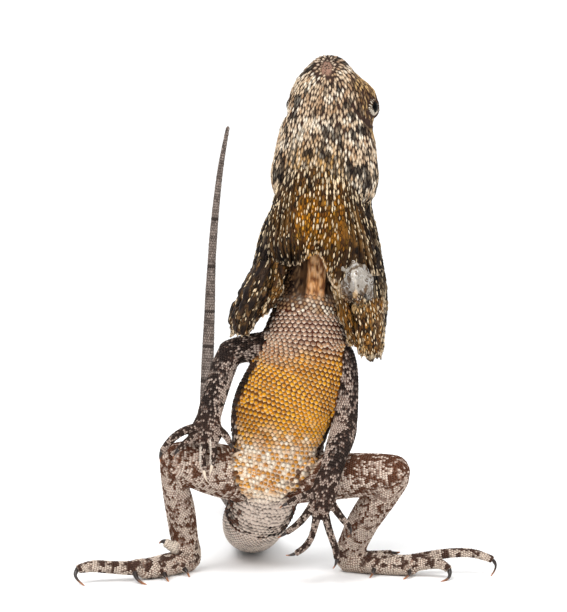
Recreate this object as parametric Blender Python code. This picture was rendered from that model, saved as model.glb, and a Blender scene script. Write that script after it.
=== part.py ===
"""A frilled lizard standing upright on its hind legs with its frill folded, life size.

Metres, +Z up. The animal's belly faces -Y, its left side is +X, and it stands on z = 0.
Lists of stations are written in millimetres, as people measure an animal of this size.
"""

import math
import random

import bmesh
import bpy
from mathutils import Vector

# Driving dimensions, in metres unless a name says otherwise
MM = 0.001
GAP = 0.0003
SNOUT_HEIGHT = 0.2469
FRILL_THICKNESS = 0.0012
EYE_RADIUS = 0.0046
LID_THICKNESS = 0.0009
CLAW_SIDES = 6
FLOOR_SLAB = 0.05
FLAT_ON_FLOOR = 1.0
SMOOTH_ANGLE = math.radians(40)
DIRECTION_REACH = 0.02
ORIGIN_SHIFT = Vector((-0.0007, -0.1042, 0.0))

# Colours, as base colour, roughness and metallic
HIDE_PALE = ((0.62, 0.50, 0.38), 0.62, 0.0)
HIDE_DARK = ((0.19, 0.13, 0.10), 0.65, 0.0)
BELLY_ORANGE = ((0.70, 0.40, 0.14), 0.55, 0.0)
FRILL_BROWN = ((0.25, 0.16, 0.07), 0.70, 0.0)
THROAT_GOLD = ((0.45, 0.26, 0.07), 0.65, 0.0)
TAIL_TAUPE = ((0.42, 0.35, 0.29), 0.66, 0.0)
EYE_BLACK = ((0.02, 0.015, 0.012), 0.08, 0.0)
CLAW_AMBER = ((0.30, 0.13, 0.05), 0.30, 0.0)

# The spine from the throat down the back and out to the tail tip: x, y, z, half width, half depth
SPINE = [
    (19.0, 6.0, 200.0, 14.5, 8.5),
    (17.6, 6.0, 182.0, 17.6, 14.2),
    (16.0, 6.0, 168.0, 14.5, 13.0),
    (14.6, 6.5, 155.0, 12.8, 11.8),
    (13.0, 6.5, 141.0, 12.6, 11.6),
    (11.5, 6.0, 132.0, 13.8, 12.0),
    (10.2, 5.5, 125.0, 16.2, 12.8),
    (9.8, 4.5, 118.0, 18.6, 14.0),
    (9.2, 3.5, 110.0, 20.4, 15.0),
    (7.4, 3.0, 102.0, 21.0, 15.6),
    (5.0, 2.5, 95.0, 21.8, 16.0),
    (2.2, 2.0, 88.0, 22.8, 16.6),
    (-1.4, 1.5, 79.0, 24.0, 17.0),
    (-3.4, 1.5, 69.0, 23.0, 16.8),
    (-4.6, 1.5, 59.0, 20.8, 15.5),
    (-6.5, 2.0, 50.0, 18.3, 14.0),
    (-9.2, 3.0, 42.0, 16.5, 12.5),
    (-10.8, 6.5, 34.0, 16.0, 12.5),
    (-13.4, 15.0, 26.5, 16.0, 13.0),
    (-15.6, 28.0, 20.0, 15.2, 12.6),
    (-16.6, 42.0, 14.6, 13.9, 11.5),
    (-16.8, 56.0, 11.2, 12.5, 10.3),
    (-17.0, 72.0, 8.9, 11.2, 9.2),
    (-17.6, 95.0, 7.7, 9.6, 8.0),
    (-19.0, 120.0, 6.7, 8.2, 7.0),
    (-22.0, 148.0, 6.3, 7.0, 6.2),
    (-28.0, 175.0, 8.0, 6.0, 5.5),
    (-36.0, 200.0, 14.0, 5.0, 4.8),
    (-43.0, 219.0, 26.0, 4.3, 4.2),
    (-46.0, 230.0, 45.0, 3.9, 3.9),
    (-46.3, 236.0, 65.0, 3.6, 3.6),
    (-45.7, 238.0, 82.0, 3.4, 3.4),
    (-44.4, 240.0, 113.7, 2.9, 2.9),
    (-43.4, 240.0, 138.0, 2.5, 2.5),
    (-41.3, 240.0, 166.0, 2.0, 2.0),
    (-37.7, 239.0, 196.6, 1.5, 1.5),
    (-33.5, 238.0, 218.8, 0.9, 0.9),
]

# Where the spine is parted: node name, first and last station, rings, sides, colour
SPINE_NODES = [
    ("neck", 0, 6, 9, 20, HIDE_PALE),
    ("chest", 6, 10, 6, 24, HIDE_PALE),
    ("belly", 10, 15, 7, 24, BELLY_ORANGE),
    ("pelvis", 15, 18, 5, 22, HIDE_PALE),
    ("tail_1", 18, 21, 6, 18, HIDE_PALE),
    ("tail_2", 21, 25, 8, 14, TAIL_TAUPE),
    ("tail_3", 25, 29, 11, 12, TAIL_TAUPE),
    ("tail_4", 29, 33, 9, 9, TAIL_TAUPE),
    ("tail_5", 33, 36, 8, 8, TAIL_TAUPE),
]

TRUNK = ("neck", "chest", "belly", "pelvis", "tail_1")

# Arms and legs, right before left: x, y, z, half width, half depth along each piece
UPPER_ARM = {
    "right": [(2, 2.5, 109, 7.8, 7.8), (-10, 3.5, 108.8, 7.1, 7.1), (-19, 6, 107.8, 6.4, 6.5),
              (-27.5, 8.5, 105.4, 5.9, 6.0)],
    "left": [(15, 3, 113, 7, 7), (24.5, 3, 108.5, 7, 6.8), (28.4, 3, 98, 6, 6.2),
             (28.9, 2.6, 88, 5.6, 5.9), (28.5, 1, 79, 5.9, 6.0), (28.2, -1, 72.5, 6.1, 6.1)],
}
FOREARM = {
    "right": [(-27.5, 8.5, 104, 5.8, 5.8), (-30.5, 2.5, 96.5, 5.9, 5.8), (-33.2, -4, 87.5, 5.7, 5.5),
              (-35.5, -10, 80, 5.5, 4.8), (-36.3, -13, 76.5, 5.6, 4.0)],
    "left": [(28.2, -1, 72.5, 5.9, 5.9), (27, -8.5, 68.2, 6.2, 5.9), (24.5, -16.5, 62.4, 5.8, 5.4),
             (22, -22.5, 55.8, 5.1, 4.5), (21, -24.8, 52.8, 5.1, 4.0)],
}
PALM = {
    "right": [(-36.3, -13, 76.5, 5.7, 3.9), (-37.3, -16.5, 71, 7.4, 3.6), (-38, -19, 66.8, 7.0, 3.0)],
    "left": [(21, -24.8, 52.8, 5.2, 3.9), (18.5, -28, 45.5, 6.1, 3.4), (17, -30, 40.5, 6.3, 3.2),
             (16, -30.8, 36.8, 5.0, 2.8)],
}
THIGH = {
    "right": [(-6, 3, 46, 12.6, 12.6), (-19, 0, 47.5, 12.6, 12.4), (-28, -4, 49.5, 12.5, 12),
              (-38, -9, 52.9, 12.1, 11), (-47, -14, 56.2, 10.2, 9.3), (-51.6, -16, 57.2, 8.2, 8.0)],
    "left": [(-4, 3, 46, 12.6, 12.6), (8, 1, 46.5, 12.3, 12.2), (20, -4, 47.5, 11.2, 11.4),
             (35, -10, 49, 10.3, 10.5), (46, -14, 50.6, 9.1, 9.4), (51.5, -15.5, 51, 8.3, 8.5)],
}
SHANK = {
    "right": [(-51.8, -15.5, 57, 7.6, 7.6), (-52.6, -10.5, 46, 5.9, 6.6), (-51.3, -6, 38, 6.5, 7.5),
              (-50.1, -2, 31, 6.9, 7.5), (-49.3, 1.5, 22.5, 6.6, 6.6), (-48.3, 4.2, 14.5, 6.4, 6.0)],
    "left": [(51.3, -15, 50, 7.8, 7.8), (47.5, -11, 42.5, 7.4, 8), (41.3, -5.2, 32.8, 7.6, 8),
             (37, -1.5, 25.5, 7.3, 7.2), (33.6, 2.4, 17.2, 6.9, 6.6), (31.8, 4.4, 12.8, 6.7, 6.3)],
}
ANKLE = {
    "right": [(-48.3, 4.2, 14.5, 6.4, 6.0), (-46.8, 6.6, 8.0, 6.2, 6.2), (-46.3, 7.4, 5.6, 5.4, 5.4)],
    "left": [(31.8, 4.4, 12.8, 6.7, 6.3), (30.0, 6.2, 8.0, 6.5, 6.3), (29.3, 6.8, 5.6, 5.4, 5.4)],
}
SOLE = {
    "right": [(-46.2, 8.6, 5.2, 5.4, 5.4), (-53, 1.5, 5.0, 5.2, 6.4), (-60, -7, 4.8, 4.9, 6.2),
              (-66.5, -14.5, 4.9, 4.4, 5.0)],
    "left": [(28.6, 7.6, 5.2, 5.4, 5.4), (38, 3, 5.0, 5.2, 6.2), (48, -1, 4.8, 4.8, 6.0),
             (60, -4.6, 4.8, 4.4, 5.2)],
}

# Claws: root and collar against the digit's end, where they bend, how much they taper
DIGIT_ACROSS = (0.3, 0.2, 0.93)
CLAW_ROOT = 0.82
CLAW_COLLAR = 0.3
CLAW_BEND = 0.6
CLAW_TAPER = 0.82
CLAW_STEPS = (0.4, 0.7, 1.0)

# Fingers and toes, thumb side first: name, joints as x, y, z, radius, then the claw tip
FINGERS = {
    "right": [
        ("1", [(-32, -17, 72, 2.0), (-28, -19.5, 69, 1.6), (-26, -20.5, 65.5, 1.3)], (-24.6, -20.5, 61.5)),
        ("2", [(-34.5, -18, 68.5, 2.0), (-33.7, -22, 61, 1.6), (-34.4, -23, 55.8, 1.3)],
         (-35.6, -22.6, 50.6)),
        ("3", [(-38, -18.5, 67.5, 2.0), (-38.9, -22, 59.5, 1.6), (-38.2, -23.5, 53.4, 1.3)],
         (-36.4, -23, 47.6)),
        ("4", [(-42, -18, 69, 2.0), (-46.2, -25.5, 66.6, 1.6), (-49.6, -27.6, 63.6, 1.3)],
         (-52.2, -28.4, 59.4)),
        ("5", [(-42, -17.5, 72.5, 2.0), (-47.6, -22.5, 71.6, 1.9), (-53.6, -25.8, 67.6, 1.7),
               (-57.4, -27, 62.4, 1.4)],
         (-58.0, -27, 57.6)),
    ],
    "left": [
        ("1", [(13, -29.5, 43.5, 2.0), (6, -30.6, 41.2, 1.6), (1.0, -31.4, 39.0, 1.3)], (-3.0, -31.8, 36.6)),
        ("2", [(13.4, -30.4, 39, 2.0), (6.8, -31.6, 30.2, 1.6), (0.4, -32.4, 25.4, 1.3)], (-3.8, -33, 23.0)),
        ("3", [(15, -30.6, 37, 2.0), (12.6, -31.6, 24.4, 1.6), (8.4, -32.6, 17.6, 1.5),
               (4.6, -33.2, 15.8, 1.3)],
         (0.0, -33.6, 15.0)),
        ("4", [(17.4, -30.6, 37, 2.0), (20.8, -31.6, 24, 1.6), (23.6, -32.6, 17.2, 1.5),
               (23.6, -33, 13.2, 1.3)],
         (21.8, -33.4, 8.6)),
        ("5", [(19.6, -29.8, 41, 2.0), (25.8, -30.8, 32.2, 1.6), (29.6, -31.8, 27.8, 1.3)],
         (28.6, -32.6, 23.0)),
    ],
}
TOES = {
    "right": [
        ("1", [(-52, 2, 4.6, 3.2), (-50, -2.5, 4.0, 2.4), (-48.4, -5.2, 3.4, 1.8)], (-45.6, -9.0, 0.0)),
        ("2", [(-56.5, -5, 4.6, 3.4), (-57.8, -11.6, 4.2, 2.6), (-57.2, -15.6, 3.2, 1.9)],
         (-54.8, -20.2, 0.0)),
        ("3", [(-64, -11, 5.2, 3.6), (-70.4, -17.2, 7.4, 2.8), (-70.6, -20.8, 5.0, 2.1)],
         (-64.6, -27.6, 0.0)),
        ("4", [(-65, -13, 5.4, 3.8), (-73, -18, 6.0, 3.2), (-85.5, -22, 7.4, 3.0), (-93.2, -24, 8.6, 2.8),
               (-96.8, -25.6, 7.0, 2.1)], (-93.4, -30.2, 0.0)),
        ("5", [(-47.5, 4.0, 9.5, 3.4), (-52.2, -3.4, 12.6, 2.7), (-57.4, -4.2, 16.0, 2.0)],
         (-60.4, -3.6, 15.2)),
    ],
    "left": [
        ("1", [(39, 0, 4.6, 3.2), (41.4, -4.6, 4.0, 2.4), (41.8, -7.2, 3.4, 1.8)], (39.8, -10.6, 0.0)),
        ("2", [(48, -2, 4.6, 3.4), (56.4, -6.2, 4.6, 2.6), (58.4, -9.8, 3.4, 1.9)], (55.4, -14.6, 0.0)),
        ("3", [(57, -4, 5.0, 3.6), (69, -9, 6.8, 2.8), (75.4, -12, 6.8, 2.4), (77, -13.6, 4.8, 1.9)],
         (72.6, -20.4, 0.0)),
        ("4", [(57, -3, 5.4, 3.6), (72.6, -2.6, 9.8, 2.4), (85.2, -3, 11.0, 2.1), (93.4, -4, 10.3, 2.1),
               (98.4, -5.2, 7.8, 1.7)], (97.6, -6.4, 0.0)),
        ("5", [(33, 8, 6.4, 3.2), (43.6, 12, 6.6, 2.4), (51.2, 11.4, 7.6, 1.8)], (55.4, 10.4, 8.6)),
    ],
}

# The head, from the snout back: distance, half width and depth of the jaws, half width and height
# of the brow, height of the crown
HEAD_ROLL = math.radians(20.0)
HEAD_TILT = math.radians(2.0)
HEAD_LEAN = math.radians(2.0)
SNOUT_PLACE = (20.8, 4.0)
SNOUT_BULGE = 0.2
NAPE_BULGE = 0.8
LONG_STATION_GAP = 5.9
HEAD = [
    (0.5, 4.4, 1.9, 3.8, 1.4, 2.0),
    (3.0, 8.2, 3.4, 7.6, 3.2, 4.2),
    (7.6, 11.8, 5.2, 11.2, 5.4, 7.0),
    (11.0, 14.8, 6.4, 15.6, 7.6, 8.8),
    (15.0, 17.6, 7.6, 20.6, 9.8, 10.8),
    (20.0, 18.8, 9.0, 21.8, 11.0, 12.2),
    (25.0, 19.4, 10.4, 21.4, 11.2, 12.8),
    (32.0, 21.6, 12.2, 19.8, 10.4, 13.0),
    (43.0, 24.2, 14.4, 19.6, 9.0, 13.1),
    (52.0, 25.4, 16.0, 20.6, 8.6, 13.2),
    (58.0, 25.9, 16.8, 20.6, 8.2, 13.0),
    (62.5, 25.0, 16.8, 19.6, 7.8, 12.6),
    (66.0, 24.2, 16.2, 18.2, 7.4, 11.8),
    (69.0, 21.0, 14.8, 15.0, 6.4, 10.4),
]
# The outline of the head's section: shares of the jaw's and brow's half widths, then of the heights
# of brow and crown above the lips, and of the depth of the jaws below them
OUTLINE_ABOVE = [
    (0.5, 0.5, 0.42, 0.0),
    (0.0, 0.985, 0.74, 0.0),
    (0.0, 0.94, 1.0, 0.0),
    (0.0, 0.52, 0.3, 0.7),
]
OUTLINE_BELOW = [(0.95, 0.40), (0.80, 0.70), (0.55, 0.90), (0.28, 0.975)]
MOUTH_START = 3.0
MOUTH_LENGTH = 41.0
MOUTH_DEPTH = 1.0
LIP_SWELL = 0.45
LIP_HEIGHT = 1.3
LIP_SHARE = 0.3
EYE_PLACE = (23.6, 18.2, 6.4)
EYE_OPENING = (4.0, 2.9, 3.2)
EYE_FORWARD = 0.16
EYE_DOWN = 0.06
NOSTRIL_DISTANCE = 5.4
NOSTRIL_RADII = (1.3, 1.0, 1.1)
EAR_DISTANCE = 50.0
EAR_RADII = (3.8, 3.2, 1.7)

# The folded frill: angle round the neck in degrees, its top and free edge, and its radius at the
# top, at one and two thirds of the way and at the free edge; 0 is under the chin, left is positive
FRILL = [
    (-150, 184, 134, 16, 19, 21, 22),
    (-125, 187, 124, 19, 24, 28, 31),
    (-104, 189, 117, 19.6, 26.4, 30, 36.4),
    (-86, 189, 115, 19.8, 26.6, 30.2, 37.4),
    (-70, 189, 115.5, 19.6, 26.4, 30, 35.8),
    (-58, 188, 119, 19, 25.6, 29.5, 33),
    (-48, 187, 127, 18.6, 24.4, 27, 28),
    (-38, 187, 135, 17, 23, 25, 25),
    (-28, 187, 147, 15, 21, 23, 22.5),
    (-14, 186, 150, 13.6, 19.4, 21.4, 20.4),
    (0, 186, 152, 13, 18.8, 20.6, 19),
    (14, 186, 150, 13.6, 19.4, 21.4, 20.4),
    (28, 187, 144, 15, 21, 23.4, 23),
    (37, 187, 131, 16.8, 22.8, 25.4, 24.6),
    (46, 187, 112, 18.2, 24.6, 27.6, 28),
    (58, 188, 104, 20.6, 25.6, 30.4, 30.4),
    (72, 189, 104.5, 22.2, 26.6, 32, 32),
    (88, 189, 106, 22.8, 27, 32.4, 32.6),
    (104, 189, 112, 22.0, 26.8, 31.4, 32.4),
    (125, 187, 122, 19, 24.6, 28.6, 30),
    (150, 184, 134, 16, 19, 21, 22),
]
FRILL_AXIS = ((17.5, 5.5, 186.0), (12.5, 5.0, 115.0))
FRILL_PARTS = [
    ("frill_right", -150.0, -34.0, 32, 7, FRILL_BROWN),
    ("frill_throat", -34.0, 34.0, 20, 6, THROAT_GOLD),
    ("frill_left", 34.0, 150.0, 32, 7, FRILL_BROWN),
]
PLEAT_PITCH = 14.5
PLEAT_DEPTH = 1.5
EDGE_RAG = 1.6
RIDGE_SHARE = 0.7
FOLD_SHARE = 0.6
FOLD_START = 0.15
FOLD_GROWTH = 1.3
FRILL_GAP_RADIUS = 22.0


def clear_scene():
    """Removes what the file holds, so that the model starts from nothing."""
    for item in list(bpy.data.objects):
        bpy.data.objects.remove(item, do_unlink=True)


def collection(name):
    """Gives a new collection that is linked to the scene."""
    group = bpy.data.collections.new(name)
    bpy.context.scene.collection.children.link(group)
    return group


def finish(name, look):
    """Gives a Principled material with a base colour, a roughness and a metallic value."""
    colour, roughness, metallic = look
    material = bpy.data.materials.new(name)
    material.use_nodes = True
    shader = material.node_tree.nodes["Principled BSDF"]
    shader.inputs["Base Color"].default_value = (*colour, 1.0)
    shader.inputs["Roughness"].default_value = roughness
    shader.inputs["Metallic"].default_value = metallic
    return material


class Path:
    """A smooth curve through stations in millimetres, whose other values run along with it."""

    def __init__(self, stations):
        self.rows = [tuple(float(v) for v in row) for row in stations]
        self.knots = [0.0]
        for before, after in zip(self.rows, self.rows[1:]):
            self.knots.append(self.knots[-1] + math.dist(before[:3], after[:3]))
        self.length = self.knots[-1]

    def slope(self, index, column):
        low = max(index - 1, 0)
        high = min(index + 1, len(self.rows) - 1)
        return (self.rows[high][column] - self.rows[low][column]) / (self.knots[high] - self.knots[low])

    def at(self, distance):
        distance = min(max(distance, 0.0), self.length)
        index = max(i for i, knot in enumerate(self.knots[:-1]) if knot <= distance)
        span = self.knots[index + 1] - self.knots[index]
        t = (distance - self.knots[index]) / span
        values = []
        for column in range(len(self.rows[0])):
            start, end = self.rows[index][column], self.rows[index + 1][column]
            leave, arrive = self.slope(index, column) * span, self.slope(index + 1, column) * span
            values.append((2 * t**3 - 3 * t**2 + 1) * start + (t**3 - 2 * t**2 + t) * leave
                          + (3 * t**2 - 2 * t**3) * end + (t**3 - t**2) * arrive)
        return values

    def direction(self, distance):
        reach = self.length * DIRECTION_REACH
        ahead, behind = self.at(distance + reach), self.at(distance - reach)
        return (Vector(ahead[:3]) - Vector(behind[:3])).normalized()


def bridge(bm, lower, upper):
    """Joins two rings of the same number of corners with a band of faces."""
    count = len(lower)
    for i in range(count):
        j = (i + 1) % count
        bm.faces.new((lower[i], lower[j], upper[j], upper[i]))


def ring_frame(along, across):
    """Gives the width and depth directions of a ring that a curve passes through."""
    width = (across - along * across.dot(along)).normalized()
    return width, along.cross(width)


def sweep(stations, rings, sides, across=(1, 0, 0), start=0.0, stop=None, grow=0.0, round_end=False):
    """Lofts a closed limb along its stations, in metres; grow makes it fatter all round."""
    path = Path(stations)
    stop = path.length if stop is None else stop
    swell = grow / MM
    reference = Vector(across)
    bm = bmesh.new()
    loops = []

    def add_ring(distance, factor, lift):
        values = path.at(distance)
        along = path.direction(distance)
        width, depth = ring_frame(along, reference)
        centre = Vector(values[:3]) + along * lift
        half_width = (values[3] + swell) * factor
        half_depth = (values[-1] + swell) * factor
        corners = []
        for k in range(sides):
            angle = 2 * math.pi * k / sides
            offset = width * (half_width * math.cos(angle)) + depth * (half_depth * math.sin(angle))
            corners.append(bm.verts.new((centre + offset) * MM))
        loops.append(corners)

    for i in range(rings + 1):
        lift = -swell if i == 0 else swell if i == rings and not round_end else 0.0
        add_ring(start + (stop - start) * i / rings, 1.0, lift)
    if round_end:
        radius = min(path.at(stop)[3], path.at(stop)[-1]) + swell
        for angle in (30, 58, 80):
            turn = math.radians(angle)
            add_ring(stop, math.cos(turn), radius * math.sin(turn) * 0.8)
    for lower, upper in zip(loops, loops[1:]):
        bridge(bm, lower, upper)
    bm.faces.new(loops[0])
    bm.faces.new(loops[-1])
    bmesh.ops.recalc_face_normals(bm, faces=bm.faces)
    return bm


def to_object(name, bm, group, look=None):
    """Turns a bmesh into an object of a collection, shaded smooth, with its own material."""
    mesh = bpy.data.meshes.new(name)
    bmesh.ops.triangulate(bm, faces=bm.faces)
    bm.to_mesh(mesh)
    bm.free()
    item = bpy.data.objects.new(name, mesh)
    group.objects.link(item)
    if look is not None:
        mesh.materials.append(finish(name, look))
    else:
        item.hide_render = True
        item.display_type = "WIRE"
    return item


def replace_mesh(item, bm):
    """Puts a bmesh in place of an object's mesh."""
    bm.to_mesh(item.data)
    bm.free()


def keep_largest(item):
    """Keeps only the largest closed surface of an object's mesh."""
    bm = bmesh.new()
    bm.from_mesh(item.data)
    left = set(bm.verts)
    shells = []
    while left:
        stack = [left.pop()]
        shell = set(stack)
        while stack:
            for edge in stack.pop().link_edges:
                for vert in edge.verts:
                    if vert not in shell:
                        shell.add(vert)
                        stack.append(vert)
        left -= shell
        shells.append(shell)
    shells.sort(key=lambda shell: max(v.co.x for v in shell) - min(v.co.x for v in shell)
                + max(v.co.y for v in shell) - min(v.co.y for v in shell)
                + max(v.co.z for v in shell) - min(v.co.z for v in shell))
    for shell in shells[:-1]:
        bmesh.ops.delete(bm, geom=list(shell), context="VERTS")
    replace_mesh(item, bm)


def apply_boolean(item, operation, tools):
    """Applies one exact Boolean with a set of closed tool objects, which are then removed."""
    group = collection("tools_in_use")
    for tool in tools:
        for owner in list(tool.users_collection):
            owner.objects.unlink(tool)
        group.objects.link(tool)
    modifier = item.modifiers.new(operation.lower(), "BOOLEAN")
    modifier.operation = operation
    modifier.operand_type = "COLLECTION"
    modifier.collection = group
    modifier.solver = "EXACT"
    bpy.context.view_layer.update()
    evaluated = item.evaluated_get(bpy.context.evaluated_depsgraph_get())
    result = bpy.data.meshes.new_from_object(evaluated)
    item.modifiers.remove(modifier)
    look = item.data.materials[0] if item.data.materials else None
    result.materials.clear()
    if look is not None:
        result.materials.append(look)
    item.data = result
    for tool in tools:
        bpy.data.objects.remove(tool, do_unlink=True)
    bpy.data.collections.remove(group)
    bm = bmesh.new()
    bm.from_mesh(item.data)
    for face in bm.faces:
        face.material_index = 0
    bmesh.ops.remove_doubles(bm, verts=bm.verts, dist=1e-6)
    bmesh.ops.dissolve_degenerate(bm, edges=bm.edges, dist=1e-6)
    bmesh.ops.triangulate(bm, faces=bm.faces)
    replace_mesh(item, bm)
    keep_largest(item)


def ellipsoid(centre, radii, sides=16, rings=10, axes=None):
    """Gives a bmesh ball stretched along three directions, its centre and radii in millimetres."""
    bm = bmesh.new()
    bmesh.ops.create_uvsphere(bm, u_segments=sides, v_segments=rings, radius=1.0)
    axes = axes or (Vector((1, 0, 0)), Vector((0, 1, 0)), Vector((0, 0, 1)))
    for vert in bm.verts:
        place = sum((axis * (radius * value) for axis, radius, value in zip(axes, radii, vert.co)), Vector())
        vert.co = (Vector(centre) + place) * MM
    bmesh.ops.recalc_face_normals(bm, faces=bm.faces)
    return bm


def head_axes():
    """Gives the head's directions: back from the snout, to its left and towards its crown."""
    crown = Vector((math.sin(HEAD_ROLL), math.cos(HEAD_ROLL), 0.0))
    back = Vector((-math.sin(HEAD_LEAN), math.sin(HEAD_TILT) * 0.6, -1.0)).normalized()
    crown = (crown - back * crown.dot(back)).normalized()
    left = back.cross(crown) * -1.0
    if left.x < 0:
        left = -left
    return back, left, crown


def head_point(distance, side, height):
    """Gives the world place, in millimetres, of a point of the head's own frame."""
    back, left, crown = head_axes()
    snout = Vector((*SNOUT_PLACE, SNOUT_HEIGHT / MM))
    return snout + back * distance + left * side + crown * height


def head_ring(distance, grow=0.0):
    """Gives the corners of one cross-section of the head: left lip, crown, right lip, throat."""
    path = Path([(row[0], 0.0, 0.0, *row[1:]) for row in HEAD])
    jaw, under, brow, brow_height, crown = path.at(distance - HEAD[0][0])[3:]
    swell = grow / MM
    open_mouth = MOUTH_START < distance < MOUTH_LENGTH
    lip = LIP_SWELL if open_mouth else 0.0
    line = MOUTH_DEPTH if open_mouth else 0.0
    lip_height = min(LIP_HEIGHT, brow_height * LIP_SHARE, under * LIP_SHARE)
    above = [(jaw - line, 0.0), (jaw + lip, lip_height)]
    above += [(jaw * a + brow * b, brow_height * c + crown * d) for a, b, c, d in OUTLINE_ABOVE]
    below = [(jaw + lip, -lip_height)] + [(jaw * a, -under * b) for a, b in OUTLINE_BELOW]
    outline = above + [(0.0, crown)] + [(-side, rise) for side, rise in reversed(above)]
    outline += [(-side, rise) for side, rise in below] + [(0.0, -under)] + list(reversed(below))
    corners = []
    for side, rise in outline:
        reach = math.hypot(side, rise)
        swelled = (reach + swell) / reach
        corners.append(head_point(distance, side * swelled, rise * swelled))
    return corners


def head_loft(grow=0.0):
    """Lofts the skull and jaws from the snout to the nape."""
    bm = bmesh.new()
    loops = []
    stops = [row[0] for row in HEAD]
    between = [(a + b) / 2 for a, b in zip(stops, stops[1:]) if b - a > LONG_STATION_GAP]
    for stop in sorted(stops + between):
        loops.append([bm.verts.new(corner * MM) for corner in head_ring(stop, grow)])
    if grow:
        back = head_axes()[0]
        for vert in loops[0]:
            vert.co -= back * grow
        for vert in loops[-1]:
            vert.co += back * grow
    for lower, upper in zip(loops, loops[1:]):
        bridge(bm, lower, upper)
    tip = bm.verts.new(head_point(-grow / MM, 0.0, SNOUT_BULGE) * MM)
    nape = bm.verts.new(head_point(HEAD[-1][0] + NAPE_BULGE + grow / MM, 0.0, 0.0) * MM)
    for i, corner in enumerate(loops[0]):
        bm.faces.new((corner, loops[0][(i + 1) % len(loops[0])], tip))
    for i, corner in enumerate(loops[-1]):
        bm.faces.new((corner, loops[-1][(i + 1) % len(loops[-1])], nape))
    bmesh.ops.recalc_face_normals(bm, faces=bm.faces)
    return bm


def cheek_place(distance, hand):
    """Gives the place half way between lip and brow on one side of the head."""
    ring = head_ring(distance)
    if hand > 0:
        return (ring[2] + ring[3]) / 2
    return (ring[10] + ring[9]) / 2


def make_head(parts, cutters):
    """Makes the head with its lids, nostrils and ear cups, and the two eyes."""
    back, left, crown = head_axes()
    head = to_object("head", head_loft(), parts, HIDE_PALE)
    lids, hollows = [], []
    eye = EYE_RADIUS / MM
    socket = eye + GAP / MM
    for name, hand in (("left", 1.0), ("right", -1.0)):
        distance, side, height = EYE_PLACE
        centre = head_point(distance, side * hand, height)
        lid = socket + LID_THICKNESS / MM
        lids.append(to_object("lid", ellipsoid(centre, (lid, lid, lid), 16, 10), cutters))
        hollows.append(to_object("socket", ellipsoid(centre, (socket, socket, socket), 16, 10), cutters))
        out = (left * hand - back * EYE_FORWARD - crown * EYE_DOWN).normalized()
        up = (crown - out * crown.dot(out)).normalized()
        opening = ellipsoid(centre + out * eye, EYE_OPENING, 14, 8, (up.cross(out), up, out))
        hollows.append(to_object("opening", opening, cutters))
        to_object("eye_" + name, ellipsoid(centre, (eye, eye, eye), 14, 8), parts, EYE_BLACK)
        axes = (back, crown, left * hand)
        nostril = ellipsoid(cheek_place(NOSTRIL_DISTANCE, hand), NOSTRIL_RADII, 8, 5, axes)
        hollows.append(to_object("nostril", nostril, cutters))
        ear = ellipsoid(cheek_place(EAR_DISTANCE, hand), EAR_RADII, 14, 8, axes)
        hollows.append(to_object("ear", ear, cutters))
    apply_boolean(head, "UNION", lids)
    apply_boolean(head, "DIFFERENCE", hollows)


def spine_piece(first, last, rings, sides, grow=0.0, trim=GAP / MM / 2):
    """Lofts the part of the spine between two stations, short of its neighbours by half a gap."""
    path = Path(SPINE)
    start = path.knots[first] + (trim if first else 0.0)
    stop = path.knots[last] - (trim if last < len(SPINE) - 1 else 0.0)
    return sweep(SPINE, rings, sides, start=start, stop=stop, grow=grow)


def floor_cutter(cutters):
    """Gives a slab whose top is the floor, which flattens what presses on it."""
    bm = bmesh.new()
    bmesh.ops.create_cube(bm, size=1.0)
    for vert in bm.verts:
        vert.co.z = (vert.co.z - 0.5) * FLOOR_SLAB
    return to_object("floor_slab", bm, cutters)


def make_spine(parts, cutters):
    """Makes the neck, chest, belly, pelvis and the lengths of the tail."""
    for name, first, last, rings, sides, look in SPINE_NODES:
        piece = to_object(name, spine_piece(first, last, rings, sides), parts, look)
        if name == "neck":
            apply_boolean(piece, "DIFFERENCE", [to_object("head_space", head_loft(GAP), cutters)])
        if name in ("tail_1", "tail_2", "tail_3"):
            apply_boolean(piece, "DIFFERENCE", [floor_cutter(cutters)])


def digit(joints, grow=0.0):
    """Lofts one finger or toe through its joints."""
    return sweep(joints, 5, 7, across=DIGIT_ACROSS, grow=grow)


def claw(joints, tip):
    """Gives a curved, tapering claw from the end of a digit to its tip."""
    path = Path(joints)
    end = path.at(path.length)
    root = Vector(end[:3])
    along = path.direction(path.length)
    tip = Vector(tip)
    reach = (tip - root).length
    radius = end[3] * CLAW_ROOT
    start = root + along * (GAP / MM)
    rows = [(*start, radius), (*(start + along * CLAW_COLLAR), radius)]
    bend = root + along * reach * CLAW_BEND
    for t in CLAW_STEPS:
        place = root * (1 - t) ** 2 + bend * 2 * t * (1 - t) + tip * t**2
        rows.append((*place, radius * (1 - t * CLAW_TAPER)))
    return sweep(rows, 4, CLAW_SIDES, across=DIGIT_ACROSS)


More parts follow.
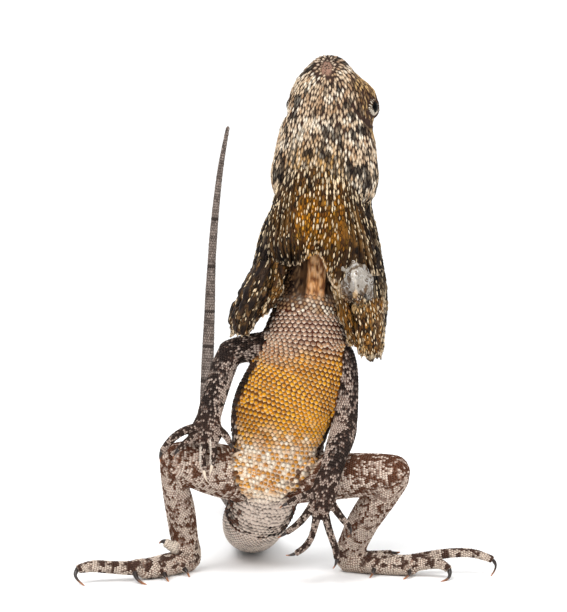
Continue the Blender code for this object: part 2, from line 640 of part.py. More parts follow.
def make_hands_and_feet(parts, cutters, side):
    """Makes one hand and one foot with their digits fused on, and the claws as separate pieces."""
    hand = to_object("hand_" + side, sweep(PALM[side], 5, 12, round_end=True), parts, HIDE_DARK)
    fingers = [to_object("finger", digit(joints), cutters) for _, joints, _ in FINGERS[side]]
    apply_boolean(hand, "UNION", fingers)
    sole = sweep(SOLE[side], 6, 14, across=(0, 0, 1), round_end=True)
    foot = to_object("foot_" + side, sole, parts, HIDE_PALE)
    toes = [to_object("toe", digit(joints), cutters) for _, joints, _ in TOES[side]]
    ankle = to_object("ankle", sweep(ANKLE[side], 3, 14, round_end=True), cutters)
    apply_boolean(foot, "UNION", toes + [ankle])
    apply_boolean(foot, "DIFFERENCE", [floor_cutter(cutters)])
    for limb, digits in (("finger", FINGERS[side]), ("toe", TOES[side])):
        for number, joints, tip in digits:
            name = f"claw_{limb}_{side}_{number}"
            piece = to_object(name, claw(joints, tip), parts, CLAW_AMBER)
            clear = [to_object("digit_space", digit(joints, GAP), cutters)]
            if tip[2] < FLAT_ON_FLOOR:
                clear.append(floor_cutter(cutters))
            apply_boolean(piece, "DIFFERENCE", clear)


def body_space(cutters):
    """Gives the pieces of the trunk, each a gap fatter than it is, to fit the limbs to."""
    return [to_object("body_space", spine_piece(first, last, rings, sides, grow=GAP), cutters)
            for name, first, last, rings, sides, look in SPINE_NODES if name in TRUNK]


def make_limbs(parts, cutters, side):
    """Makes the arm and leg pieces, each fitted to the one that carries it."""
    forward = (0, 1, 0)
    upper = to_object("upper_arm_" + side,
                      sweep(UPPER_ARM[side], 6, 12, across=forward, round_end=True), parts, HIDE_DARK)
    apply_boolean(upper, "DIFFERENCE", body_space(cutters))
    lower = to_object("forearm_" + side, sweep(FOREARM[side], 6, 12), parts, HIDE_DARK)
    elbow = sweep(UPPER_ARM[side], 6, 12, across=forward, grow=GAP, round_end=True)
    wrist = sweep(PALM[side], 5, 12, grow=GAP, round_end=True)
    apply_boolean(lower, "DIFFERENCE", [to_object("elbow_space", elbow, cutters),
                                        to_object("wrist_space", wrist, cutters)])
    thigh = to_object("thigh_" + side,
                      sweep(THIGH[side], 7, 16, across=(0, 0, 1), round_end=True), parts, HIDE_PALE)
    apply_boolean(thigh, "DIFFERENCE", body_space(cutters))
    shank = to_object("shank_" + side, sweep(SHANK[side], 7, 14), parts, HIDE_PALE)
    knee = sweep(THIGH[side], 7, 16, across=(0, 0, 1), grow=GAP, round_end=True)
    ankle = sweep(ANKLE[side], 3, 14, grow=GAP, round_end=True)
    outer_toe = digit(TOES[side][-1][1], GAP)
    apply_boolean(shank, "DIFFERENCE", [to_object("knee_space", knee, cutters),
                                        to_object("ankle_space", ankle, cutters),
                                        to_object("toe_space", outer_toe, cutters)])
    make_hands_and_feet(parts, cutters, side)


def frill_values(angle):
    """Reads the frill's measures at one angle round the neck."""
    angles = [row[0] for row in FRILL]
    index = max(i for i in range(len(angles) - 1) if angles[i] <= angle + 1e-9)
    index = min(index, len(FRILL) - 2)
    t = (angle - angles[index]) / (angles[index + 1] - angles[index])
    values = []
    for column in range(1, 7):
        def slope(i):
            low, high = max(i - 1, 0), min(i + 1, len(FRILL) - 1)
            return (FRILL[high][column] - FRILL[low][column]) / (angles[high] - angles[low])
        span = angles[index + 1] - angles[index]
        start, end = FRILL[index][column], FRILL[index + 1][column]
        leave, arrive = slope(index) * span, slope(index + 1) * span
        values.append((2 * t**3 - 3 * t**2 + 1) * start + (t**3 - 2 * t**2 + t) * leave
                      + (3 * t**2 - 2 * t**3) * end + (t**3 - t**2) * arrive)
    return values


def frill_point(angle, t, rag, inner):
    """Gives a point of the frill's outer or inner face, t running from its root to its free edge."""
    top, bottom, *radii = frill_values(angle)
    z = top + (bottom + rag - top) * t
    third = min(int(t * 3), 2)
    radius = radii[third] + (radii[third + 1] - radii[third]) * (t * 3 - third)
    fold = math.sin(2 * math.pi * angle / PLEAT_PITCH)
    ridge = max(0.0, fold) ** 3
    open_up = min(1.0, FOLD_START + FOLD_GROWTH * t)
    radius += PLEAT_DEPTH * (fold * FOLD_SHARE + ridge * RIDGE_SHARE) * open_up
    if inner:
        radius -= FRILL_THICKNESS / MM
    high, low = Vector(FRILL_AXIS[0]), Vector(FRILL_AXIS[1])
    centre = high + (low - high) * ((high.z - z) / (high.z - low.z))
    turn = math.radians(angle)
    return Vector((centre.x + radius * math.sin(turn), centre.y - radius * math.cos(turn), z))


def sheet_rim(grid):
    """Gives the corners round the edge of a grid of columns, in order."""
    last = len(grid[0]) - 1
    rim = [column[0] for column in grid]
    rim += grid[-1][1:]
    rim += [column[last] for column in reversed(grid[:-1])]
    rim += [grid[0][j] for j in range(last - 1, 0, -1)]
    return rim


def frill_part(first, last, columns, rows):
    """Makes one closed, pleated part of the frill between two angles."""
    draw = random.Random(7)
    half = math.degrees(GAP / MM / 2 / FRILL_GAP_RADIUS)
    first, last = first + half, last - half
    rags = [draw.uniform(-EDGE_RAG, EDGE_RAG) for _ in range(columns + 1)]
    bm = bmesh.new()
    faces = {}
    for inner in (False, True):
        grid = []
        for i in range(columns + 1):
            angle = first + (last - first) * i / columns
            grid.append([bm.verts.new(frill_point(angle, j / rows, rags[i] * (j / rows) ** 2, inner) * MM)
                         for j in range(rows + 1)])
        faces[inner] = grid
        for i in range(columns):
            for j in range(rows):
                a, b, c, d = grid[i][j], grid[i + 1][j], grid[i + 1][j + 1], grid[i][j + 1]
                bm.faces.new((a, b, c))
                bm.faces.new((a, c, d))
    outer, inner = faces[False], faces[True]
    rim_out, rim_in = sheet_rim(outer), sheet_rim(inner)
    bridge(bm, rim_out, rim_in)
    bmesh.ops.recalc_face_normals(bm, faces=bm.faces)
    return bm


def make_frill(parts, cutters):
    """Makes the folded frill in three parts, each fitted to the head and neck that carry it."""
    for name, first, last, columns, rows, look in FRILL_PARTS:
        piece = to_object(name, frill_part(first, last, columns, rows), parts, look)
        apply_boolean(piece, "DIFFERENCE", [to_object("head_space", head_loft(GAP), cutters)])


def set_origin(parts):
    """Moves the model so that the middle of its footprint is at the origin, and shades it smooth."""
    for item in parts.objects:
        for vert in item.data.vertices:
            vert.co += ORIGIN_SHIFT
        item.data.shade_smooth()
        item.data.set_sharp_from_angle(angle=SMOOTH_ANGLE)


def main():
    clear_scene()
    parts = collection("frilled_lizard")
    cutters = collection("cutters")
    make_head(parts, cutters)
    make_spine(parts, cutters)
    for side in ("right", "left"):
        make_limbs(parts, cutters, side)
    make_frill(parts, cutters)
    set_origin(parts)


main()
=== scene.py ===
"""The looks of the frilled lizard: skin, scales, folded frill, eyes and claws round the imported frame.

Design points are in millimetres from the plan's own zero, which STAND moves to the frame's origin.
"""

import math
import random
from itertools import product

import bmesh
import bpy
import numpy as np
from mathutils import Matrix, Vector
from mathutils.bvhtree import BVHTree


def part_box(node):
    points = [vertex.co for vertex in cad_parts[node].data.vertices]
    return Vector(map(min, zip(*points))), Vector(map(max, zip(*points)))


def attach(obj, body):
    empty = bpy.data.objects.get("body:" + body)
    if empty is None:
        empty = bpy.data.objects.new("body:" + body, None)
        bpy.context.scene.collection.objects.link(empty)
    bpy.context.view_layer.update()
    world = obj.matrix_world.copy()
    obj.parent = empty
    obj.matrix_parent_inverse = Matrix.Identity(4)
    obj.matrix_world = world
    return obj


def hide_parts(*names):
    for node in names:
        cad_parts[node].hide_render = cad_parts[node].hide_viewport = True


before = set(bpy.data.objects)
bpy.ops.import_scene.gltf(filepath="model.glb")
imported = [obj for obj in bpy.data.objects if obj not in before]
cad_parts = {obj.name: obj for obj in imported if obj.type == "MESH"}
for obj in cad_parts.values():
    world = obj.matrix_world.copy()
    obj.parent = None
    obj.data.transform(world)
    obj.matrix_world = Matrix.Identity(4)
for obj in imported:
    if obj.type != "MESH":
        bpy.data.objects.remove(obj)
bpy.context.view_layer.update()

MM = 0.001
STAND = np.array((-0.7, -104.2, 0.0))
SIDES = ("right", "left")
BODY = "root"

# Centre lines of the body, from the neck down the back and out to the tail tip, with the station
# at which each length starts and ends
SPINE = [
    (19.0, 6.0, 200.0), (17.6, 6.0, 182.0), (16.0, 6.0, 168.0), (14.6, 6.5, 155.0), (13.0, 6.5, 141.0),
    (11.5, 6.0, 132.0), (10.2, 5.5, 125.0), (9.8, 4.5, 118.0), (9.2, 3.5, 110.0), (7.4, 3.0, 102.0),
    (5.0, 2.5, 95.0), (2.2, 2.0, 88.0), (-1.4, 1.5, 79.0), (-3.4, 1.5, 69.0), (-4.6, 1.5, 59.0),
    (-6.5, 2.0, 50.0), (-9.2, 3.0, 42.0), (-10.8, 6.5, 34.0), (-13.4, 15.0, 26.5), (-15.6, 28.0, 20.0),
    (-16.6, 42.0, 14.6), (-16.8, 56.0, 11.2), (-17.0, 72.0, 8.9), (-17.6, 95.0, 7.7), (-19.0, 120.0, 6.7),
    (-22.0, 148.0, 6.3), (-28.0, 175.0, 8.0), (-36.0, 200.0, 14.0), (-43.0, 219.0, 26.0),
    (-46.0, 230.0, 45.0), (-46.3, 236.0, 65.0), (-45.7, 238.0, 82.0), (-44.4, 240.0, 113.7),
    (-43.4, 240.0, 138.0), (-41.3, 240.0, 166.0), (-37.7, 239.0, 196.6), (-33.5, 238.0, 218.8),
]
NECK, TRUNK, TAIL = (0, 6), (6, 18), (18, 36)
SIDEWAYS, FORWARD, UPWARD = (1, 0, 0), (0, 1, 0), (0, 0, 1)

LIMBS = {
    "upper_arm_right": (FORWARD, [(2, 2.5, 109), (-10, 3.5, 108.8), (-19, 6, 107.8), (-27.5, 8.5, 105.4)]),
    "upper_arm_left": (FORWARD, [(15, 3, 113), (24.5, 3, 108.5), (28.4, 3, 98), (28.9, 2.6, 88),
                                 (28.5, 1, 79), (28.2, -1, 72.5)]),
    "forearm_right": (SIDEWAYS, [(-27.5, 8.5, 104), (-30.5, 2.5, 96.5), (-33.2, -4, 87.5), (-35.5, -10, 80),
                                 (-36.3, -13, 76.5)]),
    "forearm_left": (SIDEWAYS, [(28.2, -1, 72.5), (27, -8.5, 68.2), (24.5, -16.5, 62.4), (22, -22.5, 55.8),
                                (21, -24.8, 52.8)]),
    "thigh_right": (UPWARD, [(-6, 3, 46), (-19, 0, 47.5), (-28, -4, 49.5), (-38, -9, 52.9), (-47, -14, 56.2),
                             (-51.6, -16, 57.2)]),
    "thigh_left": (UPWARD, [(-4, 3, 46), (8, 1, 46.5), (20, -4, 47.5), (35, -10, 49), (46, -14, 50.6),
                            (51.5, -15.5, 51)]),
    "shank_right": (SIDEWAYS, [(-51.8, -15.5, 57), (-52.6, -10.5, 46), (-51.3, -6, 38), (-50.1, -2, 31),
                               (-49.3, 1.5, 22.5), (-48.3, 4.2, 14.5)]),
    "shank_left": (SIDEWAYS, [(51.3, -15, 50), (47.5, -11, 42.5), (41.3, -5.2, 32.8), (37, -1.5, 25.5),
                              (33.6, 2.4, 17.2), (31.8, 4.4, 12.8)]),
}
PALMS = {
    "hand_right": [(-36.3, -13, 76.5), (-37.3, -16.5, 71), (-38, -19, 66.8)],
    "hand_left": [(21, -24.8, 52.8), (18.5, -28, 45.5), (17, -30, 40.5), (16, -30.8, 36.8)],
}
ANKLES = {
    "foot_right": [(-48.3, 4.2, 14.5), (-46.8, 6.6, 8.0), (-46.3, 7.4, 5.6)],
    "foot_left": [(31.8, 4.4, 12.8), (30.0, 6.2, 8.0), (29.3, 6.8, 5.6)],
}
SOLES = {
    "foot_right": [(-46.2, 8.6, 5.2), (-53, 1.5, 5.0), (-60, -7, 4.8), (-66.5, -14.5, 4.9)],
    "foot_left": [(28.6, 7.6, 5.2), (38, 3, 5.0), (48, -1, 4.8), (60, -4.6, 4.8)],
}
DIGIT_ACROSS = (0.3, 0.2, 0.93)
FINGERS = {
    "right": [
        [(-32, -17, 72), (-28, -19.5, 69), (-26, -20.5, 65.5)],
        [(-34.5, -18, 68.5), (-33.7, -22, 61), (-34.4, -23, 55.8)],
        [(-38, -18.5, 67.5), (-38.9, -22, 59.5), (-38.2, -23.5, 53.4)],
        [(-42, -18, 69), (-46.2, -25.5, 66.6), (-49.6, -27.6, 63.6)],
        [(-42, -17.5, 72.5), (-47.6, -22.5, 71.6), (-53.6, -25.8, 67.6), (-57.4, -27, 62.4)],
    ],
    "left": [
        [(13, -29.5, 43.5), (6, -30.6, 41.2), (1.0, -31.4, 39.0)],
        [(13.4, -30.4, 39), (6.8, -31.6, 30.2), (0.4, -32.4, 25.4)],
        [(15, -30.6, 37), (12.6, -31.6, 24.4), (8.4, -32.6, 17.6), (4.6, -33.2, 15.8)],
        [(17.4, -30.6, 37), (20.8, -31.6, 24), (23.6, -32.6, 17.2), (23.6, -33, 13.2)],
        [(19.6, -29.8, 41), (25.8, -30.8, 32.2), (29.6, -31.8, 27.8)],
    ],
}
TOES = {
    "right": [
        [(-52, 2, 4.6), (-50, -2.5, 4.0), (-48.4, -5.2, 3.4)],
        [(-56.5, -5, 4.6), (-57.8, -11.6, 4.2), (-57.2, -15.6, 3.2)],
        [(-64, -11, 5.2), (-70.4, -17.2, 7.4), (-70.6, -20.8, 5.0)],
        [(-65, -13, 5.4), (-73, -18, 6.0), (-85.5, -22, 7.4), (-93.2, -24, 8.6), (-96.8, -25.6, 7.0)],
        [(-47.5, 4.0, 9.5), (-52.2, -3.4, 12.6), (-57.4, -4.2, 16.0)],
    ],
    "left": [
        [(39, 0, 4.6), (41.4, -4.6, 4.0), (41.8, -7.2, 3.4)],
        [(48, -2, 4.6), (56.4, -6.2, 4.6), (58.4, -9.8, 3.4)],
        [(57, -4, 5.0), (69, -9, 6.8), (75.4, -12, 6.8), (77, -13.6, 4.8)],
        [(57, -3, 5.4), (72.6, -2.6, 9.8), (85.2, -3, 11.0), (93.4, -4, 10.3), (98.4, -5.2, 7.8)],
        [(33, 8, 6.4), (43.6, 12, 6.6), (51.2, 11.4, 7.6)],
    ],
}

# The head's own directions, from its roll to the animal's left and its slight lean
HEAD_ROLL = math.radians(20.0)
HEAD_TILT = math.radians(2.0)
HEAD_LEAN = math.radians(2.0)
SNOUT = Vector((20.8, 4.0, 246.9))
HEAD_LENGTH = 69.8
BACK = Vector((-math.sin(HEAD_LEAN), math.sin(HEAD_TILT) * 0.6, -1.0)).normalized()
CROWN = Vector((math.sin(HEAD_ROLL), math.cos(HEAD_ROLL), 0.0))
CROWN = (CROWN - BACK * CROWN.dot(BACK)).normalized()
LEFT = BACK.cross(CROWN)

# The folded frill: angle round the neck in degrees, its top and free edge, and its radius at the
# top, at one and two thirds of the way and at the free edge; 0 is under the chin, left is positive
FRILL = [
    (-150, 184, 134, 16, 19, 21, 22),
    (-125, 187, 124, 19, 24, 28, 31),
    (-104, 189, 117, 19.6, 26.4, 30, 36.4),
    (-86, 189, 115, 19.8, 26.6, 30.2, 37.4),
    (-70, 189, 115.5, 19.6, 26.4, 30, 35.8),
    (-58, 188, 119, 19, 25.6, 29.5, 33),
    (-48, 187, 127, 18.6, 24.4, 27, 28),
    (-38, 187, 135, 17, 23, 25, 25),
    (-28, 187, 147, 15, 21, 23, 22.5),
    (-14, 186, 150, 13.6, 19.4, 21.4, 20.4),
    (0, 186, 152, 13, 18.8, 20.6, 19),
    (14, 186, 150, 13.6, 19.4, 21.4, 20.4),
    (28, 187, 144, 15, 21, 23.4, 23),
    (37, 187, 131, 16.8, 22.8, 25.4, 24.6),
    (46, 187, 112, 18.2, 24.6, 27.6, 28),
    (58, 188, 104, 20.6, 25.6, 30.4, 30.4),
    (72, 189, 104.5, 22.2, 26.6, 32, 32),
    (88, 189, 106, 22.8, 27, 32.4, 32.6),
    (104, 189, 112, 22.0, 26.8, 31.4, 32.4),
    (125, 187, 122, 19, 24.6, 28.6, 30),
    (150, 184, 134, 16, 19, 21, 22),
]
FRILL_AXIS = ((17.5, 5.5, 186.0), (12.5, 5.0, 115.0))
FRILL_SIDES = [(-150.0, -58.0), (56.0, 150.0)]
FRILL_THICKNESS = 0.6
PLEAT_PITCH = 14.5
PLEAT_DEPTH = 1.5

# The leaves that hang in front, each a net of places from its root down to its free edge
LEAVES = {
    "pouch": [
        [(-3.1, -5, 184.1), (0.2, -8, 188.5), (3.5, -9.6, 191.4), (8.6, -10.8, 193.3),
         (13.7, -11.2, 193.8), (18.4, -11.4, 193.8), (22.6, -11.6, 193.3), (26.8, -12.0, 192.4),
         (30.5, -11.4, 189.5), (34.4, -9, 184.2)],
        [(-6.4, -9, 173.3), (-3.6, -13, 175.7), (0.6, -15.5, 177.1), (6.7, -16.4, 177.1),
         (12.7, -16.4, 177.1), (18.3, -16.4, 177.1), (23.5, -16.8, 177.1), (28.6, -16.8, 176.7),
         (32.3, -16, 175.7), (36.2, -13, 174.3)],
        [(-7.8, -9.5, 164.4), (-5.4, -14, 165.9), (-0.3, -17, 166.4), (6.2, -18, 166.5), (11.8, -17, 166.4),
         (17, -16.6, 166.4), (23.5, -17.6, 166.4), (30, -18.2, 166), (34.7, -17, 165.5), (38.6, -13, 164.5)],
        [(-8, -9.5, 157.3), (-5.9, -14.5, 158), (-0.3, -18, 158.1), (6.2, -18.2, 158.1), (10.4, -16, 158.5),
         (16.1, -15, 158.9), (23.5, -17.6, 156.7), (30.9, -19, 155.8), (37, -17, 155.7),
         (40.9, -12.5, 154.6)],
        [(-6.9, -8, 149.7), (-4.1, -11, 148.9), (0.6, -12.4, 148.5), (6.3, -11.5, 148.5), (9.1, -12, 150.4),
         (15.6, -12.4, 153.0), (21.0, -12.5, 140.0), (27.5, -14.5, 133.5), (39.4, -14.5, 142.4),
         (43.9, -11, 143.3)],
    ],
    "shed_roll": [
        [(25, -13, 149.9), (29.1, -16, 150.5), (33.3, -18, 150.1), (37, -17, 148.2), (40, -12, 145.2)],
        [(24.5, -13.5, 145.3), (29, -19.5, 146), (33.6, -22, 145.7),
         (37.9, -19.5, 143.7), (40.5, -12, 139.6)],
        [(25, -13.5, 139.6), (29.5, -20.5, 140), (34, -23, 139.7), (38.3, -20, 138.1), (41, -12, 134.9)],
        [(26.4, -13, 134.9), (30.5, -18.5, 134.3), (34.6, -21, 133.5),
         (38.4, -18, 132.9), (40.6, -11, 130.6)],
        [(27.9, -10, 131.9), (31.6, -13, 130.2), (35.3, -14.5, 129.4),
         (38.2, -12.5, 129.3), (39.7, -9, 128.6)],
    ],
    "right_leaf": [
        [(22.8, -4, 137.5), (28.3, -10, 136.5), (30.4, -7, 130.3), (32.1, -13, 131.2),
         (36.2, -16, 131.8), (40.9, -14.5, 132.2), (46.4, -8, 133.2)],
        [(25.0, -5, 125.3), (30.2, -13.5, 125.6), (31.4, -6, 124.1), (32.9, -15.5, 124.8),
         (37, -18, 124.9), (41.8, -15.5, 124.8), (46.4, -8, 125.2)],
        [(27.4, -5.5, 118.2), (31.6, -12.5, 118.4), (32.3, -6, 117), (33.9, -15.5, 117.2),
         (38, -18.5, 117.5), (42.3, -15.5, 117.2), (45.9, -8, 117.6)],
        [(29.4, -6, 112.9), (32.7, -10.5, 114), (33.2, -8, 112.4), (34.9, -13.5, 110),
         (38.6, -16, 109.8), (42.4, -14, 110.1), (45.7, -8, 111)],
        [(31.0, -6.5, 109.4), (33.7, -9, 110.6), (34.2, -8, 108.6), (36, -11, 106.1),
         (39.2, -13, 104.8), (42.5, -12, 105.7), (45, -8, 107.2)],
    ],
    "left_roll": [
        [(-3.6, -6, 146.8), (-7.3, -13, 149.9), (-12.5, -12, 149.9), (-15.9, -6, 146.8), (-16.4, 0, 144.7)],
        [(-6.4, -8, 138.4), (-11.1, -15, 141.1), (-16.7, -12.5, 140.5),
         (-19.7, -5, 138.3), (-20.3, 2, 136.9)],
        [(-8.8, -8.5, 130.4), (-14.3, -15.5, 133.2), (-20, -12.5, 133.5),
         (-22.7, -5, 131.6), (-23.6, 2, 130.3)],
        [(-12.5, -8.5, 123.8), (-17.6, -15, 126.1), (-22.9, -11.5, 126.4),
         (-25.1, -5, 124.5), (-26, 2, 123.1)],
        [(-16.3, -8, 118.6), (-20, -12.5, 118.4), (-23.4, -10, 119.2), (-25.2, -4, 119.2), (-26, 2, 119.3)],
        [(-17.3, -7, 116.1), (-20.6, -9, 114.9), (-23.4, -8, 115.7), (-24.9, -3, 117.3), (-25.5, 2, 117.9)],
    ],
    "left_strip": [
        [(-6.4, -9, 151.7), (-3.1, -12.5, 151.3), (1.1, -8, 149.7)],
        [(-6.9, -10, 143.7), (-4, -13.5, 143.4), (-0.8, -7.5, 141.7)],
        [(-8.3, -10, 136.2), (-5.9, -13, 135.9), (-2.7, -7, 135.1)],
        [(-11.1, -9.5, 129.1), (-9.2, -12, 129.2), (-6, -6.5, 129.4)],
        [(-14, -9, 124.8), (-12.1, -10.5, 124.4), (-9.7, -6, 124.6)],
    ],
}
# For each leaf: folds along it, their depth in millimetres, gold and shed skin, and edge torn
LEAF_LOOKS = {
    "pouch": (0.0, 0.0, 1.0, 0.0, 1.2),
    "shed_roll": (2.0, 0.2, 0.6, 1.0, 2.0),
    "right_leaf": (0.0, 0.0, 0.50, 0.0, 2.2),
    "left_roll": (6.0, 0.5, 0.16, 0.0, 2.6),
    "left_strip": (2.0, 0.5, 0.38, 0.0, 1.6),
}
LEAF_COLUMNS, LEAF_ROWS = 210, 124

# The margin of the scales' bake charts, and how large one scale is in them
CHART_EDGE = 0.003
CHART_SCALE = 0.0026

# Metres: the least height over the floor, the distance within which points join, the grain that
# the skin is rebuilt at, how far it swells out of the CAD's flesh and how far it keeps inside the eyes
FLOOR_GAP = 0.0001
WELD = 0.00001
SKIN_VOXEL = 0.00055
SKIN_SWELL = 0.00022
SOCKET_GAP = 0.0003
SKIN_TRIANGLES = 180000
# How the skin is softened: everywhere, then more near the borders between nodes
SOFTEN, SOFTEN_ROUNDS = 0.45, 3
BORDER_SOFTEN, BORDER_ROUNDS = 0.5, 22
BORDER_SPREAD, BORDER_FADE = 5, 0.82
DIGIT_SHARE = 0.25

TAIL_NODES = [f"tail_{n}" for n in range(1, 6)]
FLESH = ["head", "neck", "chest", "belly", "pelvis", *TAIL_NODES]
FLESH += [f"{part}_{side}" for side in SIDES
          for part in ("upper_arm", "forearm", "hand", "thigh", "shank", "foot")]


def place(point):
    """Gives the frame's place of a design point in millimetres."""
    return (np.asarray(point, float) + STAND) * MM


def mm(*values):
    """Gives lengths in metres for lengths in millimetres."""
    return tuple(value * MM for value in values)


def ramp(low, high, value):
    """Rises smoothly from 0 to 1 as an array goes from low to high."""
    t = np.clip((np.asarray(value, float) - low) / (high - low), 0.0, 1.0)
    return t * t * (3.0 - 2.0 * t)


def unit(vectors):
    """Makes rows of vectors one long."""
    return vectors / np.maximum(np.linalg.norm(vectors, axis=-1, keepdims=True), 1e-12)


# The gap between a line's samples in metres, and how many points are compared with them at a time
LINE_STEP = 0.0005
BATCH = 4000


class Line:
    """A smooth centre line in metres, with a steady sideways direction along it."""

    def __init__(self, points, across, first=0, last=None):
        points = place(points)
        gaps = np.linalg.norm(np.diff(points, axis=0), axis=1)
        knots = np.concatenate(([0.0], np.cumsum(gaps)))
        ends = np.arange(len(points))
        low, high = np.maximum(ends - 1, 0), np.minimum(ends + 1, len(points) - 1)
        slopes = (points[high] - points[low]) / (knots[high] - knots[low])[:, None]
        last = len(points) - 1 if last is None else last
        pieces = []
        for i in range(first, last):
            count = max(2, int(gaps[i] / LINE_STEP))
            t = np.linspace(0.0, 1.0, count, endpoint=i == last - 1)[:, None]
            pieces.append((2 * t**3 - 3 * t**2 + 1) * points[i] + (t**3 - 2 * t**2 + t) * slopes[i] * gaps[i]
                          + (3 * t**2 - 2 * t**3) * points[i + 1] + (t**3 - t**2) * slopes[i + 1] * gaps[i])
        self.points = np.concatenate(pieces)
        self.along = unit(np.gradient(self.points, axis=0))
        across = np.asarray(across, float)
        self.width = unit(across - self.along * (self.along @ across)[:, None])
        self.depth = np.cross(self.along, self.width)
        steps = np.linalg.norm(np.diff(self.points, axis=0), axis=1)
        self.run = np.concatenate(([0.0], np.cumsum(steps)))
        self.length = self.run[-1]

    def index(self, run):
        """Gives the sample at a distance along the line."""
        return int(np.clip(np.searchsorted(self.run, run), 0, len(self.run) - 1))

    def share(self, index):
        """Gives how far along the line a sample is, from 0 to 1."""
        return index / (len(self.points) - 1)

    def at(self, values, run):
        """Reads one of the line's lists of vectors at an exact distance along it."""
        return np.array([np.interp(run, self.run, part) for part in values.T])

    def nearest(self, points):
        """Gives the index of the nearest sample and its distance, for rows of points."""
        index = np.zeros(len(points), int)
        gap = np.zeros(len(points))
        for start in range(0, len(points), BATCH):
            part = slice(start, start + BATCH)
            apart = ((points[part, None, :] - self.points[None, :, :]) ** 2).sum(axis=2)
            index[part] = apart.argmin(axis=1)
            gap[part] = np.sqrt(apart.min(axis=1))
        return index, gap


class Row:
    """One centre line with the scales that lie along it: pitch and width at both ends, in metres."""

    def __init__(self, name, nodes, line, start, end, reach, caps=(False, False), stray=0.06):
        self.name, self.nodes, self.line = name, nodes, line
        self.start, self.end, self.reach, self.caps, self.stray = start, end, reach, caps, stray

    def size(self, share):
        """Gives the pitch and width of the scales at a share of the line's length."""
        return [a + (b - a) * share for a, b in zip(self.start, self.end)]


def body_rows():
    """Lists the centre lines with the nodes that each covers and the size of their scales."""
    rows = [
        Row("head", ["head"], Line([SNOUT + BACK * 1.0, SNOUT + BACK * (HEAD_LENGTH - 4)], LEFT),
            mm(1.9, 1.05), mm(2.7, 1.5), 0.034, (True, True), 0.3),
        Row("neck", ["neck"], Line(SPINE, SIDEWAYS, *NECK), mm(1.7, 1.7), mm(1.8, 2.1), 0.026),
        Row("trunk", ["chest", "belly", "pelvis"], Line(SPINE, SIDEWAYS, *TRUNK),
            mm(1.85, 2.45), mm(1.8, 2.2), 0.034),
        Row("tail", TAIL_NODES, Line(SPINE, SIDEWAYS, *TAIL), mm(1.8, 1.9), mm(1.5, 0.9), 0.026,
            (False, True)),
    ]
    for name, (across, points) in LIMBS.items():
        leg = name.startswith(("thigh", "shank"))
        size = mm(1.15, 1.2) if leg else mm(1.35, 1.2)
        rows.append(Row(name, [name], Line(points, across), size, size, 0.018 if leg else 0.011,
                        (True, True)))
    for part, paths, across, start, end, reach, caps in (
            ("palm", PALMS, SIDEWAYS, mm(1.15, 1.1), mm(1.1, 1.0), 0.011, (False, True)),
            ("ankle", ANKLES, SIDEWAYS, mm(1.15, 1.2), mm(1.15, 1.2), 0.012, (False, True)),
            ("sole", SOLES, UPWARD, mm(1.2, 1.2), mm(1.2, 1.2), 0.011, (True, True))):
        for name, points in paths.items():
            rows.append(Row(f"{name}_{part}", [name], Line(points, across), start, end, reach, caps))
    for node, digits in (("hand", FINGERS), ("foot", TOES)):
        for side in SIDES:
            for number, points in enumerate(digits[side], 1):
                size = mm(1.15, 1.1) if node == "foot" else mm(1.0, 0.9)
                rows.append(Row(f"{node}_{side}_digit_{number}", [f"{node}_{side}"],
                                Line(points, DIGIT_ACROSS), size, size, 0.0055, (False, True)))
    return rows


def link(name, mesh):
    """Puts a mesh in the scene as an object of that name."""
    item = bpy.data.objects.new(name, mesh)
    bpy.context.scene.collection.objects.link(item)
    return item


def from_bmesh(name, bm):
    """Turns a bmesh into an object."""
    mesh = bpy.data.meshes.new(name)
    bm.to_mesh(mesh)
    bm.free()
    return link(name, mesh)


def settle(item):
    """Applies what an object's modifiers make of its mesh."""
    bpy.context.view_layer.update()
    mesh = bpy.data.meshes.new_from_object(item.evaluated_get(bpy.context.evaluated_depsgraph_get()))
    old = item.data
    item.modifiers.clear()
    item.data = mesh
    mesh.name = item.name
    bpy.data.meshes.remove(old)


def dress(item, material):
    """Shades a piece smoothly, in one material."""
    item.data.shade_smooth()
    item.data.materials.clear()
    item.data.materials.append(material)


def write(mesh, name, values):
    """Keeps one vector for each vertex of a mesh, for the materials to read."""
    layer = mesh.attributes.new(name, "FLOAT_VECTOR", "POINT")
    layer.data.foreach_set("vector", np.ascontiguousarray(values, np.float32).ravel())


def write_skin(mesh, tint, edge, cell=(0.5, 0.0, 1.0)):
    """Keeps a skin's tint and edge colour, and each point's grain, rim and reach along its scale."""
    for name, values in (("tint", tint), ("edge", edge), ("cell", cell)):
        write(mesh, name, np.broadcast_to(values, (len(mesh.vertices), 3)))


def coordinates(mesh):
    """Gives the vertices of a mesh as rows of numbers."""
    values = np.empty(len(mesh.vertices) * 3, np.float32)
    mesh.vertices.foreach_get("co", values)
    return values.reshape(-1, 3).astype(float)


def smooth_sheet(points, ends, weights, rounds):
    """Relaxes points along the edges between them, each as much as its weight says."""
    count = np.bincount(ends.ravel(), minlength=len(points))[:, None]
    count = np.maximum(count, 1)
    for _ in range(rounds):
        total = np.zeros_like(points)
        np.add.at(total, ends[:, 0], points[ends[:, 1]])
        np.add.at(total, ends[:, 1], points[ends[:, 0]])
        points = points + (total / count - points) * weights[:, None]
    return points


